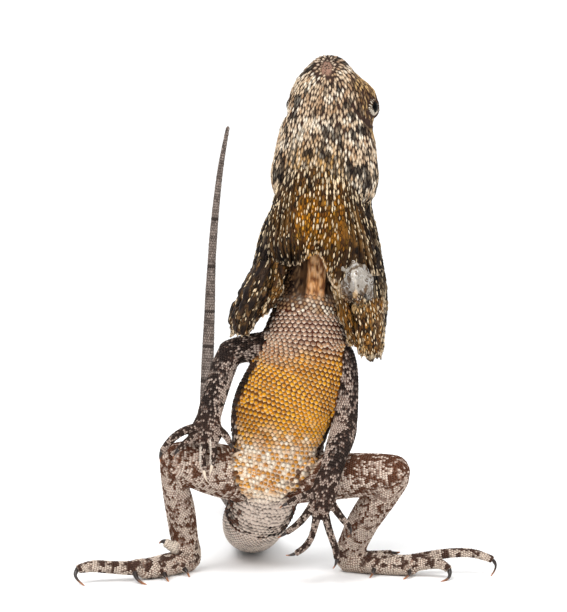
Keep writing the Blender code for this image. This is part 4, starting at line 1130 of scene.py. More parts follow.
        # A dark line along the lower belly's outline, over the crease carved there: painted shade
        border = bell(belly_edge(self.at), 0.4, 0.8) * band(z, 36, 44, 64, 72) * (self.front > 0)
        side = toward(BROWN, PINK, (self.blots(0.16, 2.4, 20) * 0.8))
        side = toward(side, INK, self.blots(0.35, 9.0, 21))
        tint = toward(side, tint, belly)
        edge = toward(toward(side, TAN, 0.25), edge, belly)
        gap = toward(side * 0.45, gap, belly)
        wash((tint, edge, gap), (0.06, 0.025, 0.012), border * 0.8)
        spots = self.blots(0.34 * ramp(60, 45, z) * ramp(9, 16, np.abs(x + 9)), 2.2, 22)
        wash((tint, edge, gap), RUST, spots * 0.9)
        self.put(mask, tint, edge, gap)

    def blotched(self, mask, ground, rim, gap, ink, cover, pitch, seed, stretch=(1.0, 1.0, 1.0), net=False):
        """Colours one part with a ground colour and blotches of ink on it, or a net of ink lines."""
        field = self.field(pitch, seed, stretch) + 0.06 * (self.grain - 0.5)
        if net:
            lines = np.abs(self.field(2.7, seed + 50) - 0.5) * 2.2 + 0.08 * (self.grain - 0.5)
            field = np.minimum(field + 0.18, lines)
        halo, dark = ramp(cover + 0.20, cover + 0.02, field), ramp(cover + 0.05, cover - 0.10, field)
        light = (0.80 + 0.34 * self.grain)[:, None]
        warm = np.array(ground) * 0.30 + np.array(ink) * 0.8
        tint = toward(toward(np.array(ground) * light, warm, halo * 0.8), ink, dark)
        side = toward(toward(rim, warm, halo * 0.6), ink, dark * 0.85)
        self.put(mask, tint, side, toward(gap, ink, dark))

    def legs(self):
        """Colours the legs' reddish net, denser on their upper sides, and denser as painted shade where they
        turn out or away from the front.
        """
        # shade: the net is denser on upper sides, and where a leg faces out or away from the front, painted
        # shade on its turned-away sides
        shade = 0.16 * ramp(0.0, 0.9, self.up) + 0.10 * ramp(0.35, 0.9, self.out)
        shade = shade + 0.30 * ramp(0.15, -0.4, self.front)
        loose = 0.14 * (self.field(12.0, 40) - 0.4)
        thigh = named(self.names, "thigh")
        cover = 0.20 + shade + loose + thigh * (0.11 + 0.05 * (self.x > 0))
        self.blotched(named(self.names, "thigh", "shank"), PINK, (0.74, 0.62, 0.53), (0.36, 0.24, 0.18),
                      RUST, cover + 0.06, 2.1, 41, net=True)

    def arms(self):
        """Colours the near black arms with their pale inner sides."""
        inner = ramp(0.15, -0.6, self.out) * ramp(-0.2, 0.4, self.front)
        right = 0.9 * ramp(0.30, -0.25, self.up) * ramp(-0.4, 0.1, self.front) * (self.x < 0)
        left = ramp(0.6, 0.1, self.out) * (self.front > 0) * (self.x > 0) * ramp(62, 72, self.z)
        inner = np.maximum.reduce([inner, right, left])
        mask = named(self.names, "upper_arm", "forearm")
        field = self.field(0.9, 42)
        cover = 0.92 - 0.72 * inner - 0.34 * ramp(0.74, 0.95, self.field(5.0, 44))
        self.blotched(mask, (0.50, 0.39, 0.33), (0.52, 0.42, 0.35), (0.11, 0.055, 0.038),
                      (0.014, 0.007, 0.005), cover, 1.2, 42)
        fleck = mask * ramp(0.62, 0.95, self.grain) * ramp(0.4, 0.7, field)
        self.edge[:] = toward(self.edge, (0.38, 0.27, 0.21), fleck * 0.7)
        self.tint[:] = toward(self.tint, (0.12, 0.068, 0.050), fleck * 0.7)

    def hands(self):
        """Colours the hands and the painted highlight along two fingers."""
        cover = 0.62 + 0.16 * ramp(0.2, 0.9, self.up) - 0.15 * ramp(0.3, -0.6, self.up)
        cover = cover - 0.22 * (self.x < 0) * ramp(70, 66, self.z)
        self.blotched(named(self.names, "hand"), (0.44, 0.34, 0.28), (0.46, 0.36, 0.30), (0.10, 0.05, 0.035),
                      (0.026, 0.013, 0.009), cover, 1.3, 43)
        # Pale lines along the edges of two fingers: painted highlight
        for path in FINGER_EDGE_HIGHLIGHTS:
            table = np.array(path)
            line = ramp(0.7, 0.3, np.abs(self.x - np.interp(self.z, table[:, 1], table[:, 0])))
            line = line * band(self.z, table[0, 1] - 1, table[0, 1], table[-1, 1], table[-1, 1] + 1)
            line = line * named(self.names, "hand") * (self.front > 0.1)
            wash((self.tint, self.edge, self.gap), (0.80, 0.70, 0.60), line * 0.85)

    def feet(self):
        """Colours the feet and the banded toes."""
        toes = ramp(52, 60, np.abs(self.x))
        bands = ramp(-0.1, 0.5, np.sin(self.x * 0.85 + 0.6 * np.sin(self.x * 0.31)))
        sole = ramp(5.5, 3.0, self.z) * ramp(0.2, -0.3, self.up)
        cover = 0.22 + toes * (0.60 * bands - 0.18) + 0.20 * ramp(0.3, 0.9, self.up) - 0.5 * sole
        mask = named(self.names, "foot")
        self.blotched(mask, (0.60, 0.48, 0.39), (0.70, 0.60, 0.51), (0.24, 0.15, 0.11),
                      (0.055, 0.023, 0.014), cover, 1.9, 45)
        shed = mask * ramp(10.0, 11.5, self.z) * ramp(-50.5, -52.0, self.x)
        wash((self.tint, self.edge, self.gap), (0.68, 0.58, 0.48), shed * 0.85)

    def tail(self):
        """Colours the tail: pale under its root, then taupe with thin rings, and darker toward the body as
        painted shade.
        """
        mask = np.isin(self.names, TAIL_NODES)
        rings = np.zeros(len(self.z))
        for height in TAIL_RINGS:
            rings = np.maximum(rings, ramp(1.5, 0.9, np.abs(self.z - height)) * (self.y > 150))
        root = ramp(70, 25, self.y) * np.maximum(ramp(0.35, -0.15, self.up), ramp(0.0, 0.35, self.front))
        ground = np.array(TAUPE) * (0.7 + 0.6 * self.grain)[:, None]
        # Darker toward the body, where the tail runs close behind and under it: painted shade
        shade = ramp(90, 20, self.y + 14.0 * self.field(6.0, 47))
        ground = toward(ground, (0.075, 0.048, 0.036), shade * 0.85)
        ground = toward(ground, (0.82, 0.70, 0.61), root)
        dark = self.blots(0.22 - 0.13 * root * ramp(-0.2, 0.5, self.front), 2.6, 46, 0.06)
        under = ramp(0.2, -0.6, self.up)
        dark = np.maximum(rings, dark * (0.55 + 0.2 * root) * (1 - 0.5 * under))
        ground = toward(ground, (0.050, 0.037, 0.031), dark)
        self.put(mask, ground, toward(ground, (0.82, 0.74, 0.67), 0.5 * root),
                 ground * np.array((0.62, 0.52, 0.46)))


# How a random field is turned, so that its cells don't lie along the body
TURN_FIELD = np.array(((0.80, 0.48, -0.36), (-0.60, 0.64, -0.48), (0.0, 0.60, 0.80)))
STRAY = random.Random(5)
# Rays in a ring, the fewest that must meet the skin, and how far the number of scales may be off
RING_RAYS = 40
LEAST_HITS = 6
COUNT_SLACK = 0.18
# How far the rings of scales turn over the end of a row, in degrees
CAP_TURNS = (24, 48, 72)
# The least gaps between scales that lie in rows and that fill what stays bare, as shares of pitch
ROW_GAP, FILL_GAP = 0.42, 0.78


def ring_hits(cover, row, run, turn):
    """Casts rays out of a centre line to the skin and gives the ring of points they meet."""
    line = row.line
    origin = Vector(line.at(line.points, run))
    width, depth, along = (line.at(values, run) for values in (line.width, line.depth, line.along))
    ring = []
    for k in range(RING_RAYS):
        angle = 2 * math.pi * k / RING_RAYS
        ray = width * math.cos(angle) + depth * math.sin(angle)
        ray = ray * math.cos(turn) + along * math.sin(turn)
        ring.append(cover.tree.ray_cast(origin, Vector(ray), row.reach)[0])
    return ring


def lay_row(cover, row, number, run, turn, count, shift, found):
    """Spreads one ring of scales evenly round the body, and gives how many a ring has."""
    index = row.line.index(run)
    ring = ring_hits(cover, row, run, turn)
    if sum(spot is not None for spot in ring) < LEAST_HITS:
        return count
    pairs = list(zip(ring, ring[1:] + ring[:1]))
    whole = [(a, b) for a, b in pairs if a is not None and b is not None]
    length = sum((a - b).length for a, b in whole) * (len(ring) / max(1, len(whole)))
    pitch, width = row.size(row.line.share(index))
    wanted = length / width
    if count is None or abs(wanted / count - 1) > COUNT_SLACK:
        count = max(4, round(wanted))
    spacing = length / count
    walked, goal = 0.0, shift * spacing
    for a, b in pairs:
        if a is None or b is None:
            walked += length / len(ring)
            while goal < walked:
                goal += spacing
            continue
        step = (b - a).length
        while goal < walked + step and step > 0:
            stray = STRAY.uniform(-1, 1) * row.stray * pitch
            spot = a.lerp(b, (goal - walked) / step) + Vector(row.line.along[index]) * stray
            found.append((spot, number))
            goal += spacing
        walked += step
    return count


def lay_rows(cover):
    """Lists the places of the scales, row after row along every centre line."""
    found = []
    for number, row in enumerate(cover.rows):
        count, run, odd = None, 0.0, 0
        stops = []
        if row.caps[0]:
            stops += [(0.0, math.radians(-a)) for a in reversed(CAP_TURNS)]
        while run < row.line.length:
            stops.append((run, 0.0))
            run += row.size(run / row.line.length)[0]
        if row.caps[1]:
            stops += [(row.line.length, math.radians(a)) for a in CAP_TURNS]
        for run, turn in stops:
            count = lay_row(cover, row, number, run, turn, count, 0.5 * (odd % 2), found)
            odd += 1
    return found


# The size of the cells in which near scales are looked for, in metres
GRID = 0.0015


def cell_of(spot, size):
    """Gives the cell of a grid that a place is in."""
    return tuple(math.floor(part / size) for part in spot)


def neighbours(grid, spot, size):
    """Goes through what a grid holds in a place's cell and the cells round it."""
    x, y, z = cell_of(spot, size)
    for dx, dy, dz in product((-1, 0, 1), repeat=3):
        yield from grid.get((x + dx, y + dy, z + dz), ())


def keep_scales(cover, found):
    """Keeps the places that lie on their own row's part of the skin, and fills what stays bare."""
    hits = [cover.tree.find_nearest(spot) for spot, _ in found]
    spots = np.array([hit[0][:] for hit in hits])
    corners = cover.corner[[hit[2] for hit in hits]]
    normals, labels = cover.normals[corners], cover.label[corners]
    which, where = cover.match(spots, labels)
    own = which == np.array([number for _, number in found])
    kept, grid = [], {}

    def free(spot, gap):
        """Says whether no scale that is kept lies nearer than a gap."""
        return not any(sum((a - b) ** 2 for a, b in zip(spot, other)) < gap * gap
                       for other in neighbours(grid, spot, GRID))

    def keep(spot, normal, label, number, index):
        """Keeps one place, and enters it in the grid."""
        grid.setdefault(cell_of(spot, GRID), []).append(tuple(spot))
        kept.append((spot, normal, label, number, index))

    own &= labels != FLESH.index("head")
    for i in np.flatnonzero(own):
        row = cover.rows[which[i]]
        if free(spots[i], min(row.size(0.5)) * ROW_GAP):
            keep(spots[i], normals[i], labels[i], which[i], where[i])
    order = list(range(len(cover.points)))
    random.Random(4).shuffle(order)
    which, where = cover.match(cover.points, cover.label)
    scatter_head(cover, order, which, where, kept)
    for i in order:
        if cover.label[i] == FLESH.index("head"):
            continue
        row = cover.rows[which[i]]
        gap = max(row.size(row.line.share(where[i]))) * FILL_GAP
        if free(cover.points[i], min(gap, GRID)):
            keep(cover.points[i], cover.normals[i], cover.label[i], which[i], where[i])
    return kept


# The head's long scales: how far apart they lie along and across, in metres, how much of that must
# be free round each, and how long, wide and high they are
HEAD_LONG, HEAD_WIDE = 2.5 * MM, 1.2 * MM
HEAD_CLEAR = 0.60
HEAD_FIT = (2.5 * 1.55 * MM, 1.2 * 1.22 * MM, 0.5 * MM)
CHIN_REACH, CHIN_PULL = 11.0 * MM, 1.3


def head_flow(spot, normal):
    """Gives the way a scale of the head points: out from the chin, and down the throat."""
    away = Vector(spot) - CHIN_TIP
    pull = math.exp(-away.length / CHIN_REACH)
    flow = BACK * (1.0 - pull) + away.normalized() * pull * CHIN_PULL
    flow = flow - Vector(normal) * flow.dot(Vector(normal))
    return np.array(flow.normalized() if flow.length > 1e-6 else LEFT)


def along_gap(gap, flow):
    """Gives how large a gap is, against the length of a scale of the head along its way and its width."""
    ahead = gap @ flow
    aside = gap @ gap - ahead * ahead
    return (ahead / HEAD_LONG) ** 2 + aside / HEAD_WIDE**2


def scatter_head(cover, order, which, where, kept):
    """Scatters the head's long narrow scales side by side, none in rows."""
    grid = {}
    for i in order:
        if cover.label[i] != FLESH.index("head"):
            continue
        spot, normal = cover.points[i], cover.normals[i]
        flow = head_flow(spot, normal)
        gaps = (spot - other for other in neighbours(grid, spot, HEAD_LONG))
        if all(along_gap(gap, flow) >= HEAD_CLEAR for gap in gaps):
            grid.setdefault(cell_of(spot, HEAD_LONG), []).append(spot)
            kept.append((spot, normal, cover.label[i], which[i], where[i]))


# The coats of scales: name, shape of scale and the nodes each covers
COATS = [
    ("scales_head", "spindle", ["head"]),
    ("scales_body", "plate", ["neck", "chest", "belly", "pelvis"]),
    ("scales_tail", "leaf", TAIL_NODES),
    ("scales_arms", "leaf", [f"{part}_{side}" for part in ("upper_arm", "forearm") for side in SIDES]),
    ("scales_hands", "leaf", [f"hand_{side}" for side in SIDES]),
    ("scales_legs_right", "leaf", [f"{part}_right" for part in ("thigh", "shank")]),
    ("scales_legs_left", "leaf", [f"{part}_left" for part in ("thigh", "shank")]),
    ("scales_feet", "leaf", [f"foot_{side}" for side in SIDES]),
]
# How long, wide and high the scales of each row are, as shares of their pitch and width
FIT = {"neck": (1.35, 0.92, 0.30), "trunk": (1.36, 0.99, 0.30), "tail": (1.35, 1.0, 0.28)}
LIMB_FIT = (1.3, 1.0, 0.24)


# Between which shares the sizes and the heights of scales are drawn, and the sizes of the head's
SCALE_SIZES, SCALE_HEIGHTS, HEAD_SIZES = (0.90, 1.08), (0.85, 1.15), (0.75, 1.15)
# The head's scales at the tip of the chin, as a share, what they grow by, and from where to where in mm
CHIN_SIZE, CHIN_GROWTH, CHIN_GROWS = 0.42, 0.58, (3.0, 9.0)
# A scale points across its row where the row itself points into the skin by more than this
INTO_SKIN = 0.97
# How much of its own lane of the texture a row fills
LANE_FILLED = 0.9


def row_scale(row, index, normal):
    """Gives the way a scale of a row points, and how long, wide and high it is."""
    pitch, width = row.size(row.line.share(index))
    along = row.line.along[index]
    if abs(along @ normal) > INTO_SKIN:
        along = row.line.width[index]
    fit = FIT.get(row.name, LIMB_FIT)
    return along, (pitch * fit[0], width * fit[1], width * fit[2])


def head_scale(spot, normal, draw):
    """Gives the way a scale of the head points, and how long, wide and high it is."""
    chin = (Vector(spot) - CHIN_TIP).length / MM
    size = draw.uniform(*HEAD_SIZES) * float(CHIN_SIZE + CHIN_GROWTH * ramp(*CHIN_GROWS, chin))
    return head_flow(spot, normal), (HEAD_FIT[0] * size, HEAD_FIT[1], HEAD_FIT[2])


def chart_place(cover, row, index, normal):
    """Gives a scale's place in the texture: how far along its row it is, and how far round in its lane."""
    round_turn = math.atan2(normal @ row.line.depth[index], normal @ row.line.width[index])
    offset = 0.5 + round_turn / (2 * math.pi)
    return row.line.share(index), (cover.rows.index(row) + offset * LANE_FILLED) / len(cover.rows)


def make_scales(cover, material):
    """Covers the skin with scales, in one coat for each main part of the body."""
    kept = keep_scales(cover, lay_rows(cover))
    draw = random.Random(11)
    spots = np.array([k[0] for k in kept])
    normals = unit(np.array([k[1] for k in kept]))
    labels = np.array([k[2] for k in kept])
    paint = Paint(spots, normals, labels, 8)
    bare = bare_skin(spots, normals, labels)
    eyes = [eye_set(side)[0] for side in SIDES]
    for name, shape, nodes in COATS:
        coat = Coat(shape)
        for i in np.flatnonzero(np.isin(labels, [FLESH.index(node) for node in nodes])):
            spot, normal = spots[i], normals[i]
            head = FLESH[labels[i]] == "head"
            if head and hides_eye(Vector(spot), Vector(normal), eyes):
                continue
            if bare[i] > draw.random():
                continue
            row, index = cover.rows[kept[i][3]], kept[i][4]
            along, fit = head_scale(spot, normal, draw) if head else row_scale(row, index, normal)
            size = draw.uniform(*SCALE_SIZES)
            height = fit[2] * draw.uniform(*SCALE_HEIGHTS)
            coat.add(spot, along, normal, fit[0] * size, fit[1] * size, height, paint.tint[i], paint.edge[i],
                     paint.grain[i], chart_place(cover, row, index, normal))
        coat.build(name, material)


# How near an eye's centre no scale lies, in metres, and how near none does where the skin is steep
EYE_CLEAR, WALL_CLEAR = 0.0062, 0.0084
WALL_SLOPE = 0.40


def hides_eye(spot, normal, eyes):
    """Says whether a scale would lie over an eye, or on the steep wall round it."""
    away = min((spot - eye for eye in eyes), key=lambda gap: gap.length)
    steep = away.normalized().dot(normal) < WALL_SLOPE
    return away.length < EYE_CLEAR or (away.length < WALL_CLEAR and steep)


def bare_skin(points, normals, labels):
    """Says how bare of scales the skin is: the strip of stretched skin down the throat is naked."""
    x, _, z = (points / MM - STAND).T
    neck = np.array(FLESH)[labels] == "neck"
    strip = ramp(12.5, 9.5, np.abs(from_throat(x, z))) * ramp(131, 135, z) * (normals[:, 1] < 0.1)
    return strip * neck


# The bowl of skin round each eye: where it starts and ends in degrees from the gaze, how much
# deeper the eye lies than its rim, and how far out it reaches, in metres
BOWL_ANGLES = (46.0, 88.0)
BOWL_DEPTH, BOWL_REACH = 0.008, 0.014


def head_depth(back, side, under):
    """Gives how far the skin of the head bulges: pleats in the throat, the chin's disc and the cheeks."""
    throat = ramp(0.0, 0.5, under)
    depth = np.zeros(len(back))
    for place_of, start in THROAT_LINES:
        strength = 1.2 if start < 40 else 0.6
        pleat = bell(side, throat_line(place_of, back), 0.8) * ramp(start, start + 10, back)
        depth -= throat * strength * pleat
    chin = np.hypot(side, (back - 5.0) * 0.8)
    depth += throat * (0.35 * bell(chin, 0.0, 2.2) - 0.35 * bell(chin, 3.4, 0.8))
    for hand in (-1, 1):
        depth += 0.9 * bell(side, hand * 20.0, 6.0) * bell(back, 57.0, 8.0)
        depth -= throat * 0.7 * bell(side, hand * (13.5 + back * 0.03), 1.4) * ramp(46, 54, back)
    return depth


def neck_depth(x, z):
    """Gives how far the skin of the neck bulges: hollow beside the bare strip, and crumpled."""
    aside = np.abs(from_throat(x, z))
    hollow = band(aside, 4.0, 6.5, 9.0, 13.0) * band(z, 130, 137, 150, 165)
    return 0.25 * cloud(41, x, z, 2.2, 1.1) * ramp(130, 136, z) - 2.6 * hollow


def sculpt(cover):
    """Works folds, hollows and bulges into the skin of the head, the neck and the lower belly."""
    points, normals = cover.points, cover.normals
    names = np.array(FLESH)[cover.label]
    at = points / MM - STAND
    x, _, z = at.T
    offset = at - np.array(SNOUT)
    head = head_depth(offset @ np.array(BACK), offset @ np.array(LEFT), normals @ -np.array(CROWN))
    depth = (names == "head") * head + (names == "neck") * (normals[:, 1] < 0.3) * neck_depth(x, z)
    inside = belly_edge(at)
    near = named(names, "belly", "pelvis", "thigh") * (normals[:, 1] < 0) * ramp(74, 64, z)
    depth += near * (1.4 * ramp(0.0, 3.5, inside) * ramp(16.0, 5.0, inside) - bell(inside, 0.0, 0.9))
    groin = np.isin(names, ["pelvis", "belly"]) * (normals[:, 1] < -0.2) * ramp(72, 60, z)
    depth += groin * 0.22 * np.sin(z * 2.6 + 1.5 * np.sin(x * 0.35))
    points = points + normals * (depth * MM)[:, None]
    for side in SIDES:
        points = clear_eye(points, side)
    cover.move(points)


def clear_eye(points, side):
    """Draws the skin round an eye in or out to a smooth bowl, wide enough for the eye and its lids."""
    centre, radius, gaze = eye_set(side)
    away = points - np.array(centre)
    gap = np.linalg.norm(away, axis=1)
    angle = np.degrees(np.arccos(np.clip(away @ np.array(gaze) / np.maximum(gap, 1e-9), -1, 1)))
    first, last = BOWL_ANGLES
    limit = radius * 0.95 + BOWL_DEPTH * ramp(first, last, angle)
    inside = (gap > limit) & (gap < BOWL_REACH) & (angle < last)
    bowl = np.array(centre) + away * (limit / np.maximum(gap, 1e-9))[:, None]
    return np.where(inside[:, None], bowl, points)


def cubic(values, spots):
    """Reads rows of values along their first axis at fractional places, smoothly."""
    count = len(values)
    index = np.clip(spots.astype(int), 0, count - 2)
    t = spots - index
    t = t.reshape(t.shape + (1,) * (values.ndim - 1))
    before, after = np.clip(index - 1, 0, None), np.clip(index + 2, None, count - 1)
    p0, p1, p2, p3 = values[before], values[index], values[index + 1], values[after]
    return p1 + 0.5 * t * (p2 - p0 + t * (2 * p0 - 5 * p1 + 4 * p2 - p3 + t * (3 * (p1 - p2) + p3 - p0)))


def cloud(seed, x, y, pitch_x, pitch_y):
    """A smooth random field between -1 and 1 over two directions."""
    table = np.random.RandomState(seed).uniform(-1, 1, (64, 64))
    x, y = x / pitch_x, y / pitch_y
    i, j = np.floor(x).astype(int), np.floor(y).astype(int)
    s, t = x - i, y - j
    s, t = s * s * (3 - 2 * s), t * t * (3 - 2 * t)
    low = table[i % 64, j % 64] * (1 - s) + table[(i + 1) % 64, j % 64] * s
    high = table[i % 64, (j + 1) % 64] * (1 - s) + table[(i + 1) % 64, (j + 1) % 64] * s
    return low * (1 - t) + high * t


def folds(angle):
    """Gives the main pleats and the fine creases at angles round the neck."""
    main = np.sin(2 * math.pi * angle / PLEAT_PITCH)
    skew = angle + 2.0 * cloud(3, angle, angle * 0, 9.0, 1.0)
    fine = np.cos(2 * math.pi * skew / (PLEAT_PITCH / 3.0))
    crease = (0.5 - 0.5 * fine) ** 4 * (0.6 + 0.4 * cloud(4, angle, angle * 0, 4.8, 1.0))
    return main, crease


class Sheet:
    """A grid of places in the frill with its colours and how much each place is a ridge."""

    def __init__(self, name, spots, ridge):
        self.name, self.spots, self.ridge = name, spots, ridge
        self.share = np.linspace(0, 1, spots.shape[1])[None, :] * np.ones(spots.shape[:2])
        self.side = np.linspace(0, 1, spots.shape[0])[:, None] * np.ones(spots.shape[:2])
        self.top, self.slim = np.zeros(spots.shape[:2]), np.zeros(spots.shape[:2])

    def normals(self):
        """Gives the way the sheet faces at each of its places."""
        across = np.gradient(self.spots, axis=0)
        down = np.gradient(self.spots, axis=1)
        return unit(np.cross(down, across))

    def lift(self, height):
        """Moves the sheet along its own normals, by heights in millimetres."""
        self.spots = self.spots + self.normals() * height[:, :, None]

    def field(self, pitch, seed, long=1.0):
        """A random field over the sheet, whose values lie evenly between 0 and 1."""
        points = self.spots.reshape(-1, 3) / np.array((1.0, 1.0, long))
        return spread(points, pitch, seed)

    def paint(self, gold, dark, shed):
        """Colours the sheet: how golden and how dark it is, and where it sheds; its valleys get painted
        shade, and the pouch's darkness holds the painted shadow of its pocket.
        """
        gold, dark, shed, ridge = (
            (values + 0 * self.ridge).ravel() for values in (gold, dark, shed, self.ridge))
        broad, close = self.field(2.6, 51, 1.6), self.field(0.8, 52, 1.8)
        dull = toward(SLATE, (0.105, 0.070, 0.036), ramp(0.50, 0.98, broad))
        rich = toward((0.17, 0.058, 0.006), GOLD, ramp(0.20, 0.80, broad))
        tint = toward(dull, rich, gold)
        tint = toward(tint, (0.66, 0.34, 0.04), gold * ramp(0.75, 1.0, close) * 0.6)
        tint = tint * (1.0 - 0.9 * dark)[:, None]
        # Random dark mottles, and painted shade in the valleys between ridges, both toward umber
        black = np.maximum(ramp(0.80, 0.95, close) * (1 - gold), ramp(-0.15, -0.60, ridge))
        tint = toward(tint, UMBER, black * 0.96)
        crest = ramp(0.35, 0.80, ridge) * ramp(0.20, 0.55, self.field(1.5, 53, 3.0)) * (1 - dark)
        tint = toward(tint, toward((0.40, 0.30, 0.19), (0.72, 0.42, 0.13), gold), crest * 0.85)
        # Thin white lines along the shed skin's wrinkles: painted highlight
        wrinkle_highlight = np.abs(self.field(1.5, 57, 1.4) - 0.5)
        grey = toward(SHED, (0.11, 0.060, 0.025), ramp(0.40, 0.72, self.field(1.6, 58)) * 0.85)
        grey = toward(grey, (0.88, 0.87, 0.86), ramp(0.09, 0.03, wrinkle_highlight))
        tint = toward(tint, grey, shed)
        rim = np.maximum(ramp(0.92, 0.96, self.share), self.rim_sides()).ravel()
        rim = rim * ramp(0.2, 0.6, self.field(1.3, 55))
        tint = toward(tint, (0.60, 0.46, 0.31), rim * 0.9 * (1 - shed))
        top = self.top.ravel()
        self.tint = toward(tint, (0.10, 0.052, 0.022), top * 0.7)
        self.base = self.tint * (1.0 - 0.62 * np.maximum(gold, top) * (1 - crest) * (1 - rim))[:, None]
        if self.name == "pouch":
            self.pale = 0.44 + 0.35 * np.clip(self.ridge, -0.5, 1.0) + 0.22 * self.top
        elif self.name == "shed_roll":
            self.pale = 0.5 * self.share
        else:
            self.pale = 0.20 + 0.25 * np.clip(self.ridge, -0.5, 1.0) + 0.25 * (self.name == "right_leaf")

    def rim_sides(self):
        """Says how near each place is to a leaf's side edges."""
        if self.name in ("side", "pouch"):
            return 0 * self.side
        return np.maximum(ramp(0.04, 0.015, self.side), ramp(0.96, 0.985, self.side))


def side_sheet(first, last):
    """Makes one side of the folded frill, which hangs from the cheek round to the nape."""
    columns = int((last - first) * 2.1)
    angle = np.linspace(first, last, columns)
    table = np.array(FRILL, float)
    place_in = np.interp(angle, table[:, 0], np.arange(len(table)))
    top, bottom, *radii = cubic(table[:, 1:], place_in).T
    t = np.linspace(0, 1, LEAF_ROWS)[None, :]
    angle = angle[:, None]
    rag = 1.6 * cloud(1, angle, angle * 0, 3.2, 1.0) + 1.1 * cloud(2, angle, angle * 0, 1.3, 1.0)
    z = top[:, None] + (bottom - top)[:, None] * t + rag * t**3
    radius = cubic(np.array(radii), t[0] * 3).T
    main, crease = folds(angle)
    open_up = np.minimum(1.0, 0.15 + 1.3 * t)
    radius = radius + PLEAT_DEPTH * (main * 0.6 + np.maximum(0.0, main) ** 3 * 0.7) * open_up
    radius = radius - 1.2 * bell(t, 0.17, 0.09) - 1.25 * crease * open_up
    radius = radius + 0.5 * cloud(5, angle * 0.6 + t * 9, t * 30, 4.0, 4.0) * t
    high, low = np.array(FRILL_AXIS)
    centre = high + (low - high) * ((high[2] - z) / (high[2] - low[2]))[:, :, None]
    turn = np.radians(angle)
    spots = np.stack([centre[:, :, 0] + radius * np.sin(turn),
                      centre[:, :, 1] - radius * np.cos(turn), z], axis=2)
    sheet = Sheet("side", spots, 0.55 * main - 0.9 * crease + 0.1 + 0 * t)
    sheet.paint(0.06, 0.25, 0.0)
    return sheet


def pouch_form(ss, tt, seed):
    """Gives the throat pouch's heights, ridges, gold, darkness with the painted shadow of its pocket, scaly
    top and bundled side folds.
    """
    bundle = np.maximum(ramp(0.33, 0.25, ss), ramp(0.70, 0.78, ss))
    swing = ss + 0.006 * cloud(seed + 1, ss * 12, tt * 20, 3.0, 7.0)
    fold = np.where(ss < 0.5, np.cos(2 * math.pi * swing / 0.049), np.cos(2 * math.pi * swing / 0.054))
    fold = fold * (0.65 + 0.35 * cloud(seed + 6, ss * 40, tt * 6, 2.6, 3.0))
    sharp = 0.9 * fold - 1.1 * np.maximum(0, -fold) ** 3
    line = 0.5 * np.cos(2 * math.pi * swing / 0.041 + 2.0 * cloud(seed + 2, ss * 30, tt * 8, 3.0, 3.0))
    swell = cloud(seed + 3, ss * 40, tt * 24, 4.0, 5.0)
    height = bundle * 1.15 * sharp + (1 - bundle) * (0.7 * swell + 0.45 * line)
    height = height + 2.6 * bell(ss, 0.25, 0.10) * bell(tt, 0.76, 0.13)
    height = height + 1.2 * bell(ss, 0.66, 0.10) * bell(tt, 0.70, 0.16)
    ridge = bundle * (0.95 * sharp) + (1 - bundle) * (0.45 * line + 0.25 * swell + 0.05)
    gold = 1.0 - 0.72 * bundle
    # The rounded pocket low on the left is darkened, with black pits: painted shadow under the pouch's bulge
    pocket_shadow = ramp(0.62, 0.92, tt) * band(ss, 0.08, 0.14, 0.38, 0.46)
    right = 0.6 * ramp(0.60, 0.80, tt) * ramp(0.52, 0.60, ss)
    rim = ramp(0.90, 0.94, tt) * band(ss, 0.30, 0.40, 0.60, 0.66)
    outer = np.maximum(ramp(0.14, 0.05, ss), ramp(0.92, 0.97, ss))
    heat = ramp(0.25, 0.85, cloud(seed + 8, ss * 40, tt * 30, 5.0, 6.0))
    dark = np.maximum.reduce([0.16 + 0.40 * heat + 0.12 * bundle, 0.97 * pocket_shadow, right, 0.85 * outer])
    dark = dark * (1 - rim)
    pits = cloud(seed + 7, ss * 40, tt * 24, 1.1, 1.1) > 0.2
    ridge = ridge + 0.9 * rim - pocket_shadow * (0.30 + 0.4 * pits)
    top = ramp(0.30, 0.0, tt + 0.10 * swell)
    return height, ridge, gold, dark, top, bundle


def leaf_sheet(name):
    """Makes one hanging leaf from its net, with its folds, crumples and torn edge."""
    net = np.array(LEAVES[name], float)
    count, depth, gold, shed, torn = LEAF_LOOKS[name]
    s, t = np.linspace(0, 1, LEAF_COLUMNS), np.linspace(0, 1, LEAF_ROWS)
    grid = cubic(net.transpose(1, 0, 2), s * (net.shape[1] - 1))
    seed = 20 + list(LEAVES).index(name)
    length = np.linalg.norm(np.diff(grid, axis=1), axis=2).sum(axis=1)
    bite = 0.6 * cloud(seed, s * 40, s * 0, 1.7, 1.0) + 0.4 * cloud(seed + 9, s * 40, s * 0, 0.6, 1.0)
    bite = torn * (bite - 0.6)
    reach = 1.0 + bite / np.maximum(length, 1.0)
    rows = np.clip(t[None, :] * reach[:, None], 0, 1) * (net.shape[0] - 1)
    spots = np.stack([cubic(grid[i], rows[i]) for i in range(LEAF_COLUMNS)])
    ss, tt = s[:, None] + 0 * t[None, :], t[None, :] + 0 * s[:, None]
    dark = 0.1
    if name == "pouch":
        height, ridge, gold, dark, top, bundle = pouch_form(ss, tt, seed)
    else:
        fold = np.cos(2 * math.pi * (ss * count + 0.25 * cloud(seed + 1, ss * 9, tt * 9, 3.0, 3.0)))
        rough = cloud(seed + 2, ss * 30, tt * 30, 4.0, 5.0)
        rough = rough + 0.5 * cloud(seed + 3, ss * 30, tt * 30, 1.6, 2.0)
        height = depth * fold * ramp(0, 0.3, tt) + (1.0 + 0.1 * shed) * rough
        ridge = 0.45 * fold + 0.55 * rough
        shed = shed * (1.0 - 0.75 * ramp(0.55, 0.85, tt + 0.12 * rough))
    sheet = Sheet(name, spots, ridge)
    if name == "pouch":
        sheet.top, sheet.slim = top, bundle
    sheet.lift(height)
    sheet.paint(gold, dark, shed)
    return sheet


